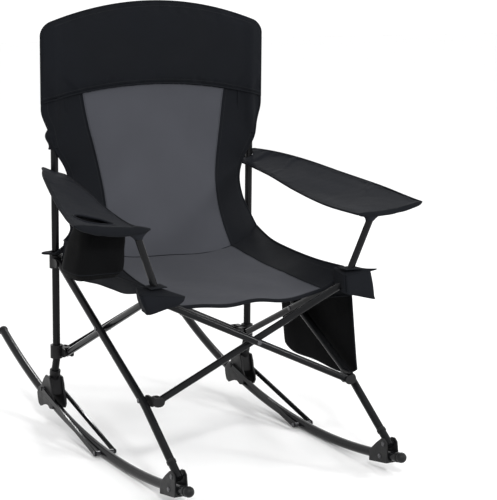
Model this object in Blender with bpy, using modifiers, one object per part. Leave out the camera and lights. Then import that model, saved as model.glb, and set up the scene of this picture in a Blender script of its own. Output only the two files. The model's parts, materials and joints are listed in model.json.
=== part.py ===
"""Folding camp rocking chair, seen from the sitter: +X is left, -Y is forward, +Z is up.

Heights and forward distances are measured from the lower rear pivots, because every scissor
starts there. at() turns them into world coordinates, with the rockers' lowest faces at Z = 0.
"""

import math

import bmesh
import bpy
from mathutils import Matrix, Vector

# Frame (metres)
POST_X = 0.260
POST_RADIUS = 0.009
POST_TOP = 0.757
PIVOT_INSET = 0.028
SCISSOR_RISE = 0.220
CROSS_RADIUS = 0.008
LEG_RADIUS = 0.009
TUBE_WALL = 0.0012
GAP = 0.0003

# Rockers
ROCKER_RADIUS = 0.011
ARC_RADIUS = 1.830
ARC_CENTRE_FORWARD = 0.350
ARC_CENTRE_HEIGHT = 1.655
ARC_STEP = 0.0437
REAR_END_ANGLE = -0.4025
FRONT_STEPS = 4.5
REAR_STEPS = 8.5
BALL_RADIUS = 0.0118
CAP_LENGTH = 0.008

# Fasteners and hubs
PIN_RADIUS = 0.003
HOLE_RADIUS = 0.0037
HEAD_RADIUS = 0.0055
HEAD_THICKNESS = 0.0015
SLEEVE_RADIUS = 0.015
SLEEVE_HALF = 0.016
BORE_RADIUS = 0.0098
WING_RADIUS = 0.0105
CHEEK = 0.003
SLOT_SIDE_GAP = 0.0005
SLOT_RADIUS = 0.0128
LEG_SLOT_RADIUS = 0.0133
END_OVERHANG = 0.008

# Where the crossing tubes lie, so that each pair passes without touching
PIVOT_X = POST_X - PIVOT_INSET
SIDE_REAR = PIVOT_INSET
SIDE_FRONT = SIDE_REAR + 2 * PIVOT_X
SIDE_MIDDLE = (SIDE_REAR + SIDE_FRONT) / 2
BACK_PLANE_A = -0.002
BACK_PLANE_B = -0.020
FRONT_PLANE_A = 0.515
FRONT_PLANE_B = 0.533
SIDE_TUBE_X = 0.242

# Foot and link pivots of each side, as (forward, height)
FOOT_PIVOT = (0.668, -0.118)
CLIP_PIVOT = (-0.041, -0.101)
LINK_FORWARD = 0.287
BRACKET_RIVET_FORWARD = 0.655
LINK_OFFSET = 0.0235
LINK_THICKNESS = 0.0035
LINK_RADIUS = 0.006

# Fabric
CLOTH = 0.003
SEAM_HEIGHT = 0.604
CREASE_FORWARD = 0.115
CREASE_HEIGHT = 0.233
SLEEVE_BOTTOM = 0.526
CUP_X = -0.335
CUP_FORWARD = 0.425
CUP_HOLE_RADIUS = 0.045
POCKET_X = 0.283
POCKET_THICKNESS = 0.014
POCKET_HOLLOW = 0.008

TUBE_SIDES = 12
ROUND_SIDES = 14
PIN_SIDES = 8
SIDES = {"right": -1, "left": 1}

# The rockers' lowest flat faces stand on Z = 0, and the footprint is centred on Y = 0
ROCKER_LOW = ARC_CENTRE_HEIGHT - ARC_RADIUS * math.cos(ARC_STEP / 2)
PIVOT_Z = ROCKER_RADIUS * math.cos(math.pi / TUBE_SIDES) - ROCKER_LOW
FRONT_END = ARC_CENTRE_FORWARD + ARC_RADIUS * math.sin(FRONT_STEPS * ARC_STEP) + 2 * BALL_RADIUS
REAR_END = ARC_CENTRE_FORWARD + ARC_RADIUS * math.sin(REAR_END_ANGLE) - CAP_LENGTH
POST_Y = (FRONT_END + REAR_END) / 2

LOOKS = {
    "powder_coat": ((0.035, 0.036, 0.040, 1), 0.35, 0.6),
    "black_plastic": ((0.018, 0.018, 0.020, 1), 0.45, 0.0),
    "bright_rivet": ((0.60, 0.60, 0.62, 1), 0.25, 1.0),
    "black_cloth": ((0.016, 0.017, 0.019, 1), 0.90, 0.0),
    "grey_cloth": ((0.085, 0.090, 0.105, 1), 0.90, 0.0),
    "arm_cloth": ((0.030, 0.033, 0.037, 1), 0.90, 0.0),
}

# How a flat outline's own x, y and z lie in the world, for each way that its face looks
FACING = {
    "X": Matrix(((0, 0, -1), (-1, 0, 0), (0, 1, 0))),
    "Y": Matrix(((1, 0, 0), (0, 0, -1), (0, 1, 0))),
}


def at(x, forward, height):
    """World position of a point given from the lower rear pivots."""
    return Vector((x, POST_Y - forward, height + PIVOT_Z))


def on_arc(angle):
    """Forward distance and height of the rocker's centre line at an angle from its lowest point."""
    forward = ARC_CENTRE_FORWARD + ARC_RADIUS * math.sin(angle)
    return forward, ARC_CENTRE_HEIGHT - ARC_RADIUS * math.cos(angle)


def arc_height(forward):
    """Height of the rocker's centre line at a forward distance."""
    return on_arc(math.asin((forward - ARC_CENTRE_FORWARD) / ARC_RADIUS))[1]


# --- scene and materials ---------------------------------------------------------------


def clear_scene():
    for obj in list(bpy.data.objects):
        bpy.data.objects.remove(obj, do_unlink=True)


def new_collection(name):
    collection = bpy.data.collections.new(name)
    bpy.context.scene.collection.children.link(collection)
    return collection


def move_to(obj, collection):
    for old in list(obj.users_collection):
        old.objects.unlink(obj)
    collection.objects.link(obj)


def make_materials():
    materials = {}
    for name, (colour, roughness, metallic) in LOOKS.items():
        material = bpy.data.materials.new(name)
        material.use_nodes = True
        shader = material.node_tree.nodes["Principled BSDF"]
        shader.inputs["Base Color"].default_value = colour
        shader.inputs["Roughness"].default_value = roughness
        shader.inputs["Metallic"].default_value = metallic
        materials[name] = material
    return materials


clear_scene()
CHAIR = new_collection("camp_rocking_chair")
TOOLS = new_collection("tools")
MATERIALS = make_materials()
BODIES = {}


def add_body(name, pivot, parent=None):
    """An empty on the body's joint axis, hung from its parent body's empty."""
    empty = bpy.data.objects.new("body_" + name, None)
    empty.empty_display_size = 0.02
    TOOLS.objects.link(empty)
    empty.location = pivot - parent["pivot"] if parent else pivot
    if parent:
        empty.parent = parent["empty"]
    BODIES[name] = {"empty": empty, "pivot": pivot}
    return BODIES[name]


def finish(obj, name, look, body):
    """Names a piece, gives it its material and hangs it from its body."""
    obj.name = name
    obj.data.materials.clear()
    obj.data.materials.append(MATERIALS[look])
    obj.data.shade_smooth()
    obj.data.set_sharp_from_angle(angle=math.radians(40))
    move_to(obj, CHAIR)
    obj.parent = BODIES[body]["empty"]
    obj.matrix_parent_inverse = Matrix.Translation(-BODIES[body]["pivot"])
    return obj


# --- shapes ------------------------------------------------------------------------------


def rod(start, end, radius, sides=TUBE_SIDES):
    """Solid round bar between two points."""
    axis = end - start
    bpy.ops.mesh.primitive_cylinder_add(vertices=sides, radius=radius, depth=axis.length)
    obj = bpy.context.object
    obj.rotation_euler = axis.to_track_quat("Z", "Y").to_euler()
    obj.location = (start + end) / 2
    return obj


def block(low, high):
    """Box between two corners."""
    bpy.ops.mesh.primitive_cube_add(size=1)
    obj = bpy.context.object
    size = high - low
    obj.data.transform(Matrix.Diagonal((abs(size.x), abs(size.y), abs(size.z), 1)))
    obj.location = (low + high) / 2
    return obj


def mesh_from_curve(curve_object):
    """Turns a curve into a closed mesh with outward faces, and removes the curve."""
    bpy.context.view_layer.update()
    graph = bpy.context.evaluated_depsgraph_get()
    mesh = bpy.data.meshes.new_from_object(curve_object.evaluated_get(graph))
    shape = bmesh.new()
    shape.from_mesh(mesh)
    bmesh.ops.remove_doubles(shape, verts=shape.verts, dist=0.00001)
    bmesh.ops.recalc_face_normals(shape, faces=shape.faces)
    shape.to_mesh(mesh)
    shape.free()
    obj = bpy.data.objects.new(curve_object.name, mesh)
    obj.matrix_world = curve_object.matrix_world
    TOOLS.objects.link(obj)
    bpy.data.objects.remove(curve_object, do_unlink=True)
    return obj


def new_curve(points, origin, dimensions, cyclic):
    curve = bpy.data.curves.new("outline", "CURVE")
    curve.dimensions = dimensions
    spline = curve.splines.new("POLY")
    spline.points.add(len(points) - 1)
    for slot, point in zip(spline.points, points):
        slot.co = (*point, 1)
    spline.use_cyclic_u = cyclic
    obj = bpy.data.objects.new("outline", curve)
    obj.location = origin
    TOOLS.objects.link(obj)
    return obj


def plate(outline, origin, facing, thickness):
    """Flat piece from an outline; its middle plane passes through origin."""
    points = [(u, v, 0) for u, v in outline]
    obj = new_curve(points, origin, "2D", True)
    obj.data.fill_mode = "BOTH"
    obj.data.extrude = thickness / 2
    obj.rotation_euler = FACING[facing].to_euler()
    return mesh_from_curve(obj)


def stadium(length, radius, steps=6):
    """Outline with round ends: from (0, 0) to (length, 0)."""
    sign = math.copysign(1, length)
    points = []
    for end, turn in ((length, -90), (0, 90)):
        for step in range(steps + 1):
            angle = math.radians(turn + 180 * step / steps)
            points.append((end + sign * radius * math.cos(angle), radius * math.sin(angle)))
    return points


def bar(points, radius, sides=TUBE_SIDES, tilt=0.0):
    """Solid round bar along a path of points."""
    origin = points[0]
    obj = new_curve([point - origin for point in points], origin, "3D", False)
    obj.data.bevel_depth = radius
    obj.data.bevel_resolution = (sides - 4) // 2
    obj.data.use_fill_caps = True
    for point in obj.data.splines[0].points:
        point.tilt = tilt
    return mesh_from_curve(obj)


def pipe(points, radius, tilt=0.0):
    """Round tube along a path of points, open at both ends."""
    obj = bar(points, radius, TUBE_SIDES, tilt)
    shape = bmesh.new()
    shape.from_mesh(obj.data)
    caps = [face for face in shape.faces if len(face.verts) == 3]
    bmesh.ops.delete(shape, geom=caps, context="FACES")
    shape.to_mesh(obj.data)
    shape.free()
    wall = obj.modifiers.new("wall", "SOLIDIFY")
    wall.thickness = TUBE_WALL
    wall.offset = -1
    wall.use_even_offset = True
    return obj


def sheet(columns, rows, shape, thickness=CLOTH):
    """Cloth whose middle surface is shape(u, v), with u and v from -1 to 1."""
    bpy.ops.mesh.primitive_grid_add(x_subdivisions=columns, y_subdivisions=rows, size=2)
    obj = bpy.context.object
    origin = shape(0, 0)
    for vertex in obj.data.vertices:
        vertex.co = shape(vertex.co.x, vertex.co.y) - origin
    obj.location = origin
    wall = obj.modifiers.new("cloth", "SOLIDIFY")
    wall.thickness = thickness
    wall.offset = 0
    return obj


def combine(obj, operation, tools):
    for tool in tools:
        boolean = obj.modifiers.new(operation.lower(), "BOOLEAN")
        boolean.operation = operation
        boolean.object = tool
        tool.name = "tool"
        tool.hide_render = True
        tool.display_type = "WIRE"
        move_to(tool, TOOLS)
    return obj


def join(obj, *tools):
    return combine(obj, "UNION", tools)


def cut(obj, *tools):
    return combine(obj, "DIFFERENCE", tools)


def pin(start, end, washers=()):
    """Rivet with a head outside each end, and washers given as (start, end) pairs."""
    step = (end - start).normalized() * HEAD_THICKNESS
    obj = rod(start - step, end + step, PIN_RADIUS, PIN_SIDES)
    heads = [(start - step, start), (end, end + step)]
    for low, high in heads + list(washers):
        join(obj, rod(low, high, HEAD_RADIUS))
    return obj


def across_x(x, half, forward, height):
    """Two points on a line along X."""
    return at(x - half, forward, height), at(x + half, forward, height)


def across_y(x, plane, half, height):
    """Two points on a line from back to front."""
    return at(x, plane - half, height), at(x, plane + half, height)


def hole_x(x, forward, height):
    """Cutter for a pin's hole along X, longer than any piece is wide."""
    return rod(*across_x(x, 0.03, forward, height), HOLE_RADIUS, PIN_SIDES)


# --- crossing tubes ------------------------------------------------------------------------


def straight_tube(start, end, pin_axis):
    """Tube between two pivots, with holes at both and in the middle."""
    overhang = (end - start).normalized() * END_OVERHANG
    obj = pipe([start - overhang, end + overhang], CROSS_RADIUS)
    reach = pin_axis * 0.012
    for hole in (start, end, (start + end) / 2):
        cut(obj, rod(hole - reach, hole + reach, HOLE_RADIUS, PIN_SIDES))
    return obj


def make_cross_tubes():
    """The X behind the back and the X under the seat's front edge."""
    planes = {"back": (BACK_PLANE_A, BACK_PLANE_B), "front": (FRONT_PLANE_A, FRONT_PLANE_B)}
    for place, (plane_a, plane_b) in planes.items():
        for letter, plane, side in (("a", plane_a, -1), ("b", plane_b, 1)):
            low = at(side * PIVOT_X, plane, 0)
            high = at(-side * PIVOT_X, plane, SCISSOR_RISE)
            tube = straight_tube(low, high, Vector((0, 1, 0)))
            finish(tube, f"{place}_cross_tube_{letter}", "powder_coat", f"{place}_tube_{letter}")
        reach = CROSS_RADIUS + GAP
        low, high = sorted((plane_a, plane_b))
        middle = SCISSOR_RISE / 2
        rivet = pin(at(0, low - reach, middle), at(0, high + reach, middle))
        finish(rivet, f"{place}_cross_rivet", "bright_rivet", f"{place}_tube_a")


def make_side_scissor(side, sign):
    low = at(sign * SIDE_TUBE_X, SIDE_REAR, 0)
    high = at(sign * SIDE_TUBE_X, SIDE_FRONT, SCISSOR_RISE)
    tube = straight_tube(low, high, Vector((1, 0, 0)))
    finish(tube, f"side_cross_tube_{side}", "powder_coat", f"side_tube_{side}")

    upper = Vector((SIDE_REAR, SCISSOR_RISE))
    knuckle = Vector((SIDE_FRONT, 0))
    along = (knuckle - upper).normalized()
    foot = Vector(FOOT_PIVOT)
    bend = knuckle + along * 0.014
    end = foot + (foot - bend).normalized() * END_OVERHANG
    start = upper - along * 0.007
    path = [at(sign * POST_X, *point) for point in (start, bend, end)]
    leg = pipe(path, LEG_RADIUS)
    for forward, height in (upper, (upper + knuckle) / 2, knuckle, foot):
        cut(leg, hole_x(sign * POST_X, forward, height))
    finish(leg, f"front_leg_{side}", "powder_coat", f"leg_{side}")

    outer = sign * (POST_X + LEG_RADIUS + GAP)
    inner = sign * (SIDE_TUBE_X - CROSS_RADIUS - GAP)
    middle = SCISSOR_RISE / 2
    rivet = pin(at(inner, SIDE_MIDDLE, middle), at(outer, SIDE_MIDDLE, middle))
    finish(rivet, f"side_cross_rivet_{side}", "bright_rivet", f"side_tube_{side}")


# --- hubs ------------------------------------------------------------------------------------


def fork_y(x, plane, height, reach):
    """Wing that holds a tube between two cheeks, on a pin that runs from back to front."""
    thickness = 2 * (CROSS_RADIUS + SLOT_SIDE_GAP + CHEEK)
    return plate(stadium(reach, WING_RADIUS), at(x, plane, height), "Y", thickness)


def slot_y(x, plane, height):
    return rod(*across_y(x, plane, CROSS_RADIUS + SLOT_SIDE_GAP, height), SLOT_RADIUS, ROUND_SIDES)


def peg_y(x, plane, height):
    half = CROSS_RADIUS + SLOT_SIDE_GAP + CHEEK / 2
    return rod(*across_y(x, plane, half, height), PIN_RADIUS, PIN_SIDES)


def fork_x(x, forward, height, reach, radius):
    """Wing that holds a tube between two cheeks, on a pin that runs along X."""
    thickness = 2 * (radius + SLOT_SIDE_GAP + CHEEK)
    return plate(stadium(reach, WING_RADIUS), at(x, forward, height), "X", thickness)


def slot_x(x, forward, height, radius, slot_radius):
    return rod(*across_x(x, radius + SLOT_SIDE_GAP, forward, height), slot_radius, ROUND_SIDES)


def peg_x(x, forward, height, radius):
    half = radius + SLOT_SIDE_GAP + CHEEK / 2
    return rod(*across_x(x, half, forward, height), PIN_RADIUS, PIN_SIDES)


def make_rear_hub(name, body, sign, height, plane, wing_x, wing_radius, slot_radius):
    """Plastic hub round a rear post: one wing inward for the back X, one forward for the side X."""
    post = sign * POST_X
    sleeve_ends = at(post, 0, height - SLEEVE_HALF), at(post, 0, height + SLEEVE_HALF)
    hub = rod(*sleeve_ends, SLEEVE_RADIUS, ROUND_SIDES)
    pivot = sign * PIVOT_X
    join(
        hub,
        fork_y(pivot, plane, height, sign * (PIVOT_INSET - 0.010)),
        fork_x(sign * wing_x, SIDE_REAR, height, -(SIDE_REAR - 0.004), wing_radius),
    )
    beyond = Vector((0, 0, 0.004))
    cut(
        hub,
        rod(sleeve_ends[0] - beyond, sleeve_ends[1] + beyond, BORE_RADIUS, ROUND_SIDES),
        slot_y(pivot, plane, height),
        slot_x(sign * wing_x, SIDE_REAR, height, wing_radius, slot_radius),
    )
    join(
        hub,
        peg_y(pivot, plane, height),
        peg_x(sign * wing_x, SIDE_REAR, height, wing_radius),
    )
    return finish(hub, name, "black_plastic", body)


def make_rear_hubs(side, sign):
    lower_plane, slider_plane = BACK_PLANE_B, BACK_PLANE_A
    if sign < 0:
        lower_plane, slider_plane = slider_plane, lower_plane
    make_rear_hub(
        f"rear_lower_hub_{side}", f"{side}_post", sign, 0, lower_plane,
        SIDE_TUBE_X, CROSS_RADIUS, SLOT_RADIUS,
    )
    make_rear_hub(
        f"rear_slider_hub_{side}", f"{side}_slider", sign, SCISSOR_RISE, slider_plane,
        POST_X, LEG_RADIUS, LEG_SLOT_RADIUS,
    )


def make_front_hub(side, sign):
    """Upper front hub: holds the side tube and a front tube, and carries the arm post."""
    plane = FRONT_PLANE_B if sign < 0 else FRONT_PLANE_A
    tube_x = sign * SIDE_TUBE_X
    pivot = sign * PIVOT_X
    front = plane + CROSS_RADIUS + SLOT_SIDE_GAP + CHEEK
    reach = front - WING_RADIUS / 2 - SIDE_FRONT
    hub = fork_x(tube_x, SIDE_FRONT, SCISSOR_RISE, reach, CROSS_RADIUS)
    start, end = arm_post_line(sign)
    along = (end - start).normalized()
    join(
        hub,
        fork_y(pivot, plane, SCISSOR_RISE, sign * 0.012),
        rod(start - along * 0.014, start + along * 0.008, 0.0115, ROUND_SIDES),
        rod(start, start + along * 0.028, 0.0060),
    )
    cut(
        hub,
        slot_x(tube_x, SIDE_FRONT, SCISSOR_RISE, CROSS_RADIUS, SLOT_RADIUS),
        slot_y(pivot, plane, SCISSOR_RISE),
    )
    join(
        hub,
        peg_x(tube_x, SIDE_FRONT, SCISSOR_RISE, CROSS_RADIUS),
        peg_y(pivot, plane, SCISSOR_RISE),
    )
    finish(hub, f"front_upper_hub_{side}", "black_plastic", f"front_hub_{side}")

    post = pipe([start + along * (0.008 + GAP), end], CROSS_RADIUS)
    finish(post, f"arm_post_{side}", "powder_coat", f"front_hub_{side}")


def arm_post_line(sign):
    """Ends of the leaning tube that carries the front of an armrest."""
    return at(sign * 0.238, 0.518, 0.238), at(sign * 0.2854, 0.5294, 0.3614)


def make_knuckle(side, sign):
    """Bracket inside the front leg's bend, with a fork for one tube of the front X."""
    plane = FRONT_PLANE_A if sign < 0 else FRONT_PLANE_B
    pivot = sign * PIVOT_X
    front = plane + CROSS_RADIUS + SLOT_SIDE_GAP + CHEEK
    web_inner, web_outer = 0.2450, POST_X - LEG_RADIUS - 0.0015
    web_x = sign * (web_inner + web_outer) / 2
    reach = front - WING_RADIUS - SIDE_FRONT
    outline = stadium(reach, WING_RADIUS)
    knuckle = plate(outline, at(web_x, SIDE_FRONT, 0), "X", web_outer - web_inner)
    join(knuckle, fork_y(pivot, plane, 0, sign * 0.0065))
    cut(knuckle, slot_y(pivot, plane, 0), hole_x(web_x, SIDE_FRONT, 0))
    join(knuckle, peg_y(pivot, plane, 0))
    finish(knuckle, f"knuckle_bracket_{side}", "black_plastic", f"knuckle_{side}")

    outer = sign * (POST_X + LEG_RADIUS + GAP)
    bolt = pin(at(sign * (web_inner - GAP), SIDE_FRONT, 0), at(outer, SIDE_FRONT, 0))
    finish(bolt, f"knuckle_bolt_{side}", "bright_rivet", f"knuckle_{side}")


# --- rear posts and foot clips ------------------------------------------------------------------


def post_path(sign, foot):
    """Straight post whose foot is bent backward into the clip."""
    path = [(0, POST_TOP), (0, -0.018), (-0.006, -0.034), foot]
    return [at(sign * POST_X, forward, height) for forward, height in path]


def make_rear_post(side, sign):
    body = f"{side}_post"
    finish(pipe(post_path(sign, (-0.024, -0.090)), POST_RADIUS), f"rear_post_{side}", "powder_coat", body)

    top = at(sign * POST_X, 0, POST_TOP)
    up = Vector((0, 0, 1))
    cap = rod(top + up * GAP, top + up * 0.006, POST_RADIUS, ROUND_SIDES)
    join(cap, rod(top - up * 0.012, top + up * 0.002, 0.0070))
    finish(cap, f"post_top_cap_{side}", "black_plastic", body)


def make_foot_clip(side, sign):
    """Plastic saddle at the post's foot that drops over the rocker and is open underneath."""
    x = sign * POST_X
    width = 0.037
    outline = [
        (-0.085, -0.1355), (-0.088, -0.118), (-0.070, -0.096), (-0.045, -0.078),
        (-0.032, -0.056), (0.001, -0.056), (0.010, -0.085), (0.021, -0.108), (0.020, -0.158),
    ]
    clip = plate(outline, at(x, 0, 0), "X", width)
    lip_width = 0.0065
    lip_x = x + sign * (width / 2 + 0.0004 - lip_width / 2)
    lip = plate(stadium(0.020, 0.010), at(lip_x, -0.088, -0.141), "X", lip_width)
    middle = -0.035
    rear, front = (at(x, forward, arc_height(forward)) for forward in (middle - 0.02, middle + 0.02))
    slope = math.atan2((front - rear).z, -(front - rear).y)
    depth, half_width = 0.060, 0.0118
    channel = block(Vector((-half_width, -0.10, -depth)), Vector((half_width, 0.10, 0)))
    channel.rotation_euler = (-slope, 0, 0)
    lift = ROCKER_RADIUS + 0.0015 - depth / 2
    channel.location = (rear + front) / 2 + Vector((0, 0, lift))
    join(clip, lip)
    cut(
        clip,
        channel,
        bar(post_path(sign, (-0.0245, -0.0915)), BORE_RADIUS),
        hole_x(x, *CLIP_PIVOT),
    )
    finish(clip, f"rear_foot_clip_{side}", "black_plastic", f"{side}_post")

    clip_pin = pin(*across_x(x, width / 2 + GAP, *CLIP_PIVOT))
    finish(clip_pin, f"foot_clip_pin_{side}", "bright_rivet", f"{side}_post")


# --- rockers --------------------------------------------------------------------------------------


def rocker_angles():
    """Angles of the bends: even steps, with one straight length level at the bottom."""
    steps = [step - REAR_STEPS for step in range(int(REAR_STEPS + FRONT_STEPS) + 1)]
    return [REAR_END_ANGLE] + [step * ARC_STEP for step in steps]


def make_rocker(side, sign):
    x = sign * POST_X
    body = f"rocker_{side}"
    path = [at(x, *on_arc(angle)) for angle in rocker_angles()]
    tube = pipe(path, ROCKER_RADIUS, math.pi / TUBE_SIDES)
    link_height = arc_height(LINK_FORWARD)
    rivet_height = arc_height(BRACKET_RIVET_FORWARD)
    cut(
        tube,
        hole_x(x, LINK_FORWARD, link_height),
        hole_x(x, BRACKET_RIVET_FORWARD, rivet_height),
    )
    finish(tube, f"rocker_tube_{side}", "powder_coat", body)

    plug_radius = ROCKER_RADIUS - TUBE_WALL - 0.0008
    ahead = (path[-1] - path[-2]).normalized()
    bpy.ops.mesh.primitive_uv_sphere_add(segments=16, ring_count=8, radius=BALL_RADIUS)
    ball = bpy.context.object
    ball.location = path[-1] + ahead * (BALL_RADIUS + GAP)
    join(ball, rod(path[-1] - ahead * 0.012, path[-1] + ahead * 0.006, plug_radius))
    finish(ball, f"rocker_front_ball_{side}", "black_plastic", body)

    behind = (path[0] - path[1]).normalized()
    cap = rod(path[0] + behind * GAP, path[0] + behind * CAP_LENGTH, 0.0122, ROUND_SIDES)
    join(cap, rod(path[0] - behind * 0.012, path[0] + behind * 0.002, plug_radius))
    finish(cap, f"rocker_rear_cap_{side}", "black_plastic", body)

    make_rocker_bracket(side, sign, rivet_height)

    inner = ROCKER_RADIUS + GAP
    outer = LINK_OFFSET - LINK_THICKNESS / 2 - GAP
    head = LINK_OFFSET + LINK_THICKNESS / 2 + GAP
    washers = [
        tuple(at(x + way * offset, LINK_FORWARD, link_height) for offset in (inner, outer))
        for way in (-1, 1)
    ]
    link_pin = pin(*across_x(x, head, LINK_FORWARD, link_height), washers)
    finish(link_pin, f"rocker_link_pin_{side}", "bright_rivet", body)


def make_rocker_bracket(side, sign, rivet_height):
    """Saddle that wraps the rocker from below, with two ears for the leg's foot."""
    x = sign * POST_X
    half_width, ear, hug = 0.0148, 0.003, ROCKER_RADIUS + 0.0005
    rear, front, depth = 0.612, 0.682, 0.0148
    outline = [
        (rear, arc_height(rear) - depth),
        (front, arc_height(front) - depth),
        (0.6855, -0.135), (0.681, -0.113), (0.671, -0.1065), (0.659, -0.108), (0.640, -0.122),
        (0.612, -0.146),
    ]
    bracket = plate(outline, at(x, 0, 0), "X", 2 * half_width)
    ends = [at(x, forward, arc_height(forward)) for forward in (rear - 0.01, front + 0.01)]
    middle = (rear + front) / 2
    slope = math.atan2((ends[1] - ends[0]).z, -(ends[1] - ends[0]).y)
    inside = half_width - ear
    throat = block(Vector((-inside, -0.05, 0)), Vector((inside, 0.05, 0.08)))
    throat.rotation_euler = (-slope, 0, 0)
    throat.location = at(x, middle, arc_height(middle) + 0.04)
    cut(
        bracket,
        throat,
        rod(*ends, inside, ROUND_SIDES),
        hole_x(x, *FOOT_PIVOT),
        hole_x(x, BRACKET_RIVET_FORWARD, rivet_height),
    )
    body = f"rocker_{side}"
    finish(bracket, f"rocker_bracket_{side}", "black_plastic", body)

    rivet = pin(*across_x(x, half_width + GAP, BRACKET_RIVET_FORWARD, rivet_height))
    finish(rivet, f"rocker_bracket_rivet_{side}", "bright_rivet", body)
    foot_pin = pin(*across_x(x, half_width + GAP, *FOOT_PIVOT))
    finish(foot_pin, f"leg_foot_pin_{side}", "bright_rivet", body)


def make_links(side, sign):
    """Two flat bars from the foot clip to the rocker, one each side of the tube."""
    link = Vector((LINK_FORWARD, arc_height(LINK_FORWARD)))
    clip = Vector(CLIP_PIVOT)
    run = link - clip
    turn = Matrix.Rotation(math.atan2(run.y, run.x), 2)
    outline = [turn @ Vector(point) for point in stadium(run.length, LINK_RADIUS)]
    for place, way in (("inner", -sign), ("outer", sign)):
        x = sign * POST_X + way * LINK_OFFSET
        link_bar = plate(outline, at(x, *clip), "X", LINK_THICKNESS)
        face = x + way * LINK_THICKNESS / 2
        join(link_bar, rod(at(face - way * 0.001, *clip), at(face + way * 0.0015, *clip), 0.005))
        cut(link_bar, hole_x(x, *link))
        finish(link_bar, f"link_bar_{place}_{side}", "powder_coat", f"links_{side}")


# --- fabric --------------------------------------------------------------------------------------


def back_shape(u, v):
    """Back of the sling, from the head panel's seam down to the crease."""
    t = (1 - v) / 2
    side = abs(u) ** 3
    half = 0.243 - 0.020 * math.sin(math.pi * t) ** 2
    forward = CREASE_FORWARD * t**2 * (1 - side) + 0.018 * t * side
    height = SEAM_HEIGHT - (SEAM_HEIGHT - CREASE_HEIGHT) * t + 0.042 * t**3 * side
    return at(u * half, forward, height)


def seat_shape(u, v):
    """Seat of the sling, from the crease forward to the front edge."""
    t = (1 - v) / 2
    side = abs(u) ** 3
    half = 0.243 - 0.008 * t
    middle_forward = CREASE_FORWARD + 0.004 + (0.499 - CREASE_FORWARD - 0.004) * t
    edge_forward = 0.022 + (0.476 - 0.022) * t
    forward = middle_forward * (1 - side) + edge_forward * side
    middle_height = 0.195 + 0.035 * (1 - t) ** 2
    edge_height = 0.248 + 0.022 * (1 - t) ** 2
    return at(u * half, forward, middle_height * (1 - side) + edge_height * side)


def make_sling():
    finish(sheet(10, 10, back_shape), "back_panel", "grey_cloth", "right_post")
    finish(sheet(10, 10, seat_shape), "seat_panel", "grey_cloth", "right_post")

    half = [(0.243, 0.6075), (0.243, 0.768), (0.284, 0.768), (0.290, 0.776), (0.286, 0.786), (0.150, 0.822)]
    mirrored = [(-x, height) for x, height in reversed(half)]
    head = plate(half + [(0, 0.832)] + mirrored, at(0, 0, 0), "Y", 0.008)
    finish(head, "head_panel", "black_cloth", "right_post")


def make_post_sleeve(side, sign):
    """Cloth sleeve round the top of a post, with the side flap that stands out beyond it."""
    x = sign * POST_X
    bottom, top = at(x, 0, SLEEVE_BOTTOM), at(x, 0, POST_TOP)
    beyond = Vector((0, 0, 0.01))
    sleeve = rod(bottom, top, 0.0132, ROUND_SIDES)
    flap = [(0, 0.580), (sign * 0.029, 0.600), (sign * 0.029, POST_TOP - 0.002), (0, POST_TOP - 0.002)]
    join(sleeve, plate(flap, at(x, 0, 0), "Y", 0.004))
    cut(sleeve, rod(bottom - beyond, top + beyond, 0.0104, ROUND_SIDES))
    finish(sleeve, f"post_sleeve_{side}", "black_cloth", f"{side}_post")


def armrest_shape(sign):
    """Leaf of cloth, tilted where it loops round the post and level where it meets the arm post."""

    def shape(u, v):
        t = (1 - v) / 2
        inner = Vector((0.243 - 0.012 * math.sin(math.pi * t) + 0.004 * t, -0.020 + 0.555 * t, 0.420 - 0.045 * t))
        outer = Vector((0.285 + 0.150 * t**0.8, -0.020 + 0.565 * t, 0.458 - 0.070 * t))
        share = (u + 1) / 2
        point = inner.lerp(outer, share)
        sag = 0.004 * math.sin(math.pi * share) * t
        return at(sign * point.x, point.y, point.z - sag)

    return shape


def make_armrest(side, sign):
    arm = sheet(6, 10, armrest_shape(sign), 0.006)
    x = sign * POST_X
    cut(arm, rod(at(x, 0, 0.36), at(x, 0, 0.50), 0.0108, ROUND_SIDES))
    if sign < 0:
        hole = at(CUP_X, CUP_FORWARD, 0.30), at(CUP_X, CUP_FORWARD, 0.50)
        cut(arm, rod(*hole, CUP_HOLE_RADIUS, 20))
    finish(arm, f"armrest_{side}", "arm_cloth", f"{side}_post")


def make_cup_holder():
    """Open cloth cup under the right armrest's hole."""
    profile = [(0.060, 0.366), (0.060, 0.330), (0.056, 0.292), (0.046, 0.268), (0.0, 0.264)]
    mesh = bpy.data.meshes.new("cup")
    edges = [(index, index + 1) for index in range(len(profile) - 1)]
    mesh.from_pydata([(radius, 0, height) for radius, height in profile], edges, [])
    cup = bpy.data.objects.new("cup", mesh)
    cup.location = at(CUP_X, CUP_FORWARD, 0)
    TOOLS.objects.link(cup)
    turn = cup.modifiers.new("turn", "SCREW")
    turn.steps = 20
    turn.render_steps = 20
    turn.use_merge_vertices = True
    turn.merge_threshold = 0.0001
    wall = cup.modifiers.new("cloth", "SOLIDIFY")
    wall.thickness = CLOTH
    wall.offset = -1
    finish(cup, "cup_holder", "black_cloth", "right_post")


def make_side_pocket():
    """Flat pocket that hangs outside the left front leg and is open along its top."""
    outline = [
        (0.136, 0.100), (0.150, 0.020), (0.175, -0.012), (0.286, -0.019),
        (0.406, -0.010), (0.475, -0.004), (0.490, 0.020), (0.462, 0.178),
    ]
    hollow = [
        (0.142, 0.135), (0.155, 0.024), (0.178, -0.008), (0.286, -0.0155),
        (0.405, -0.0065), (0.471, 0.000), (0.485, 0.022), (0.458, 0.205),
    ]
    origin = at(POCKET_X, 0, 0)
    pocket = plate(outline, origin, "X", POCKET_THICKNESS)
    cut(pocket, plate(hollow, origin, "X", POCKET_HOLLOW))
    finish(pocket, "side_pocket", "black_cloth", "left_post")


# --- assembly --------------------------------------------------------------------------------------


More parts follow.
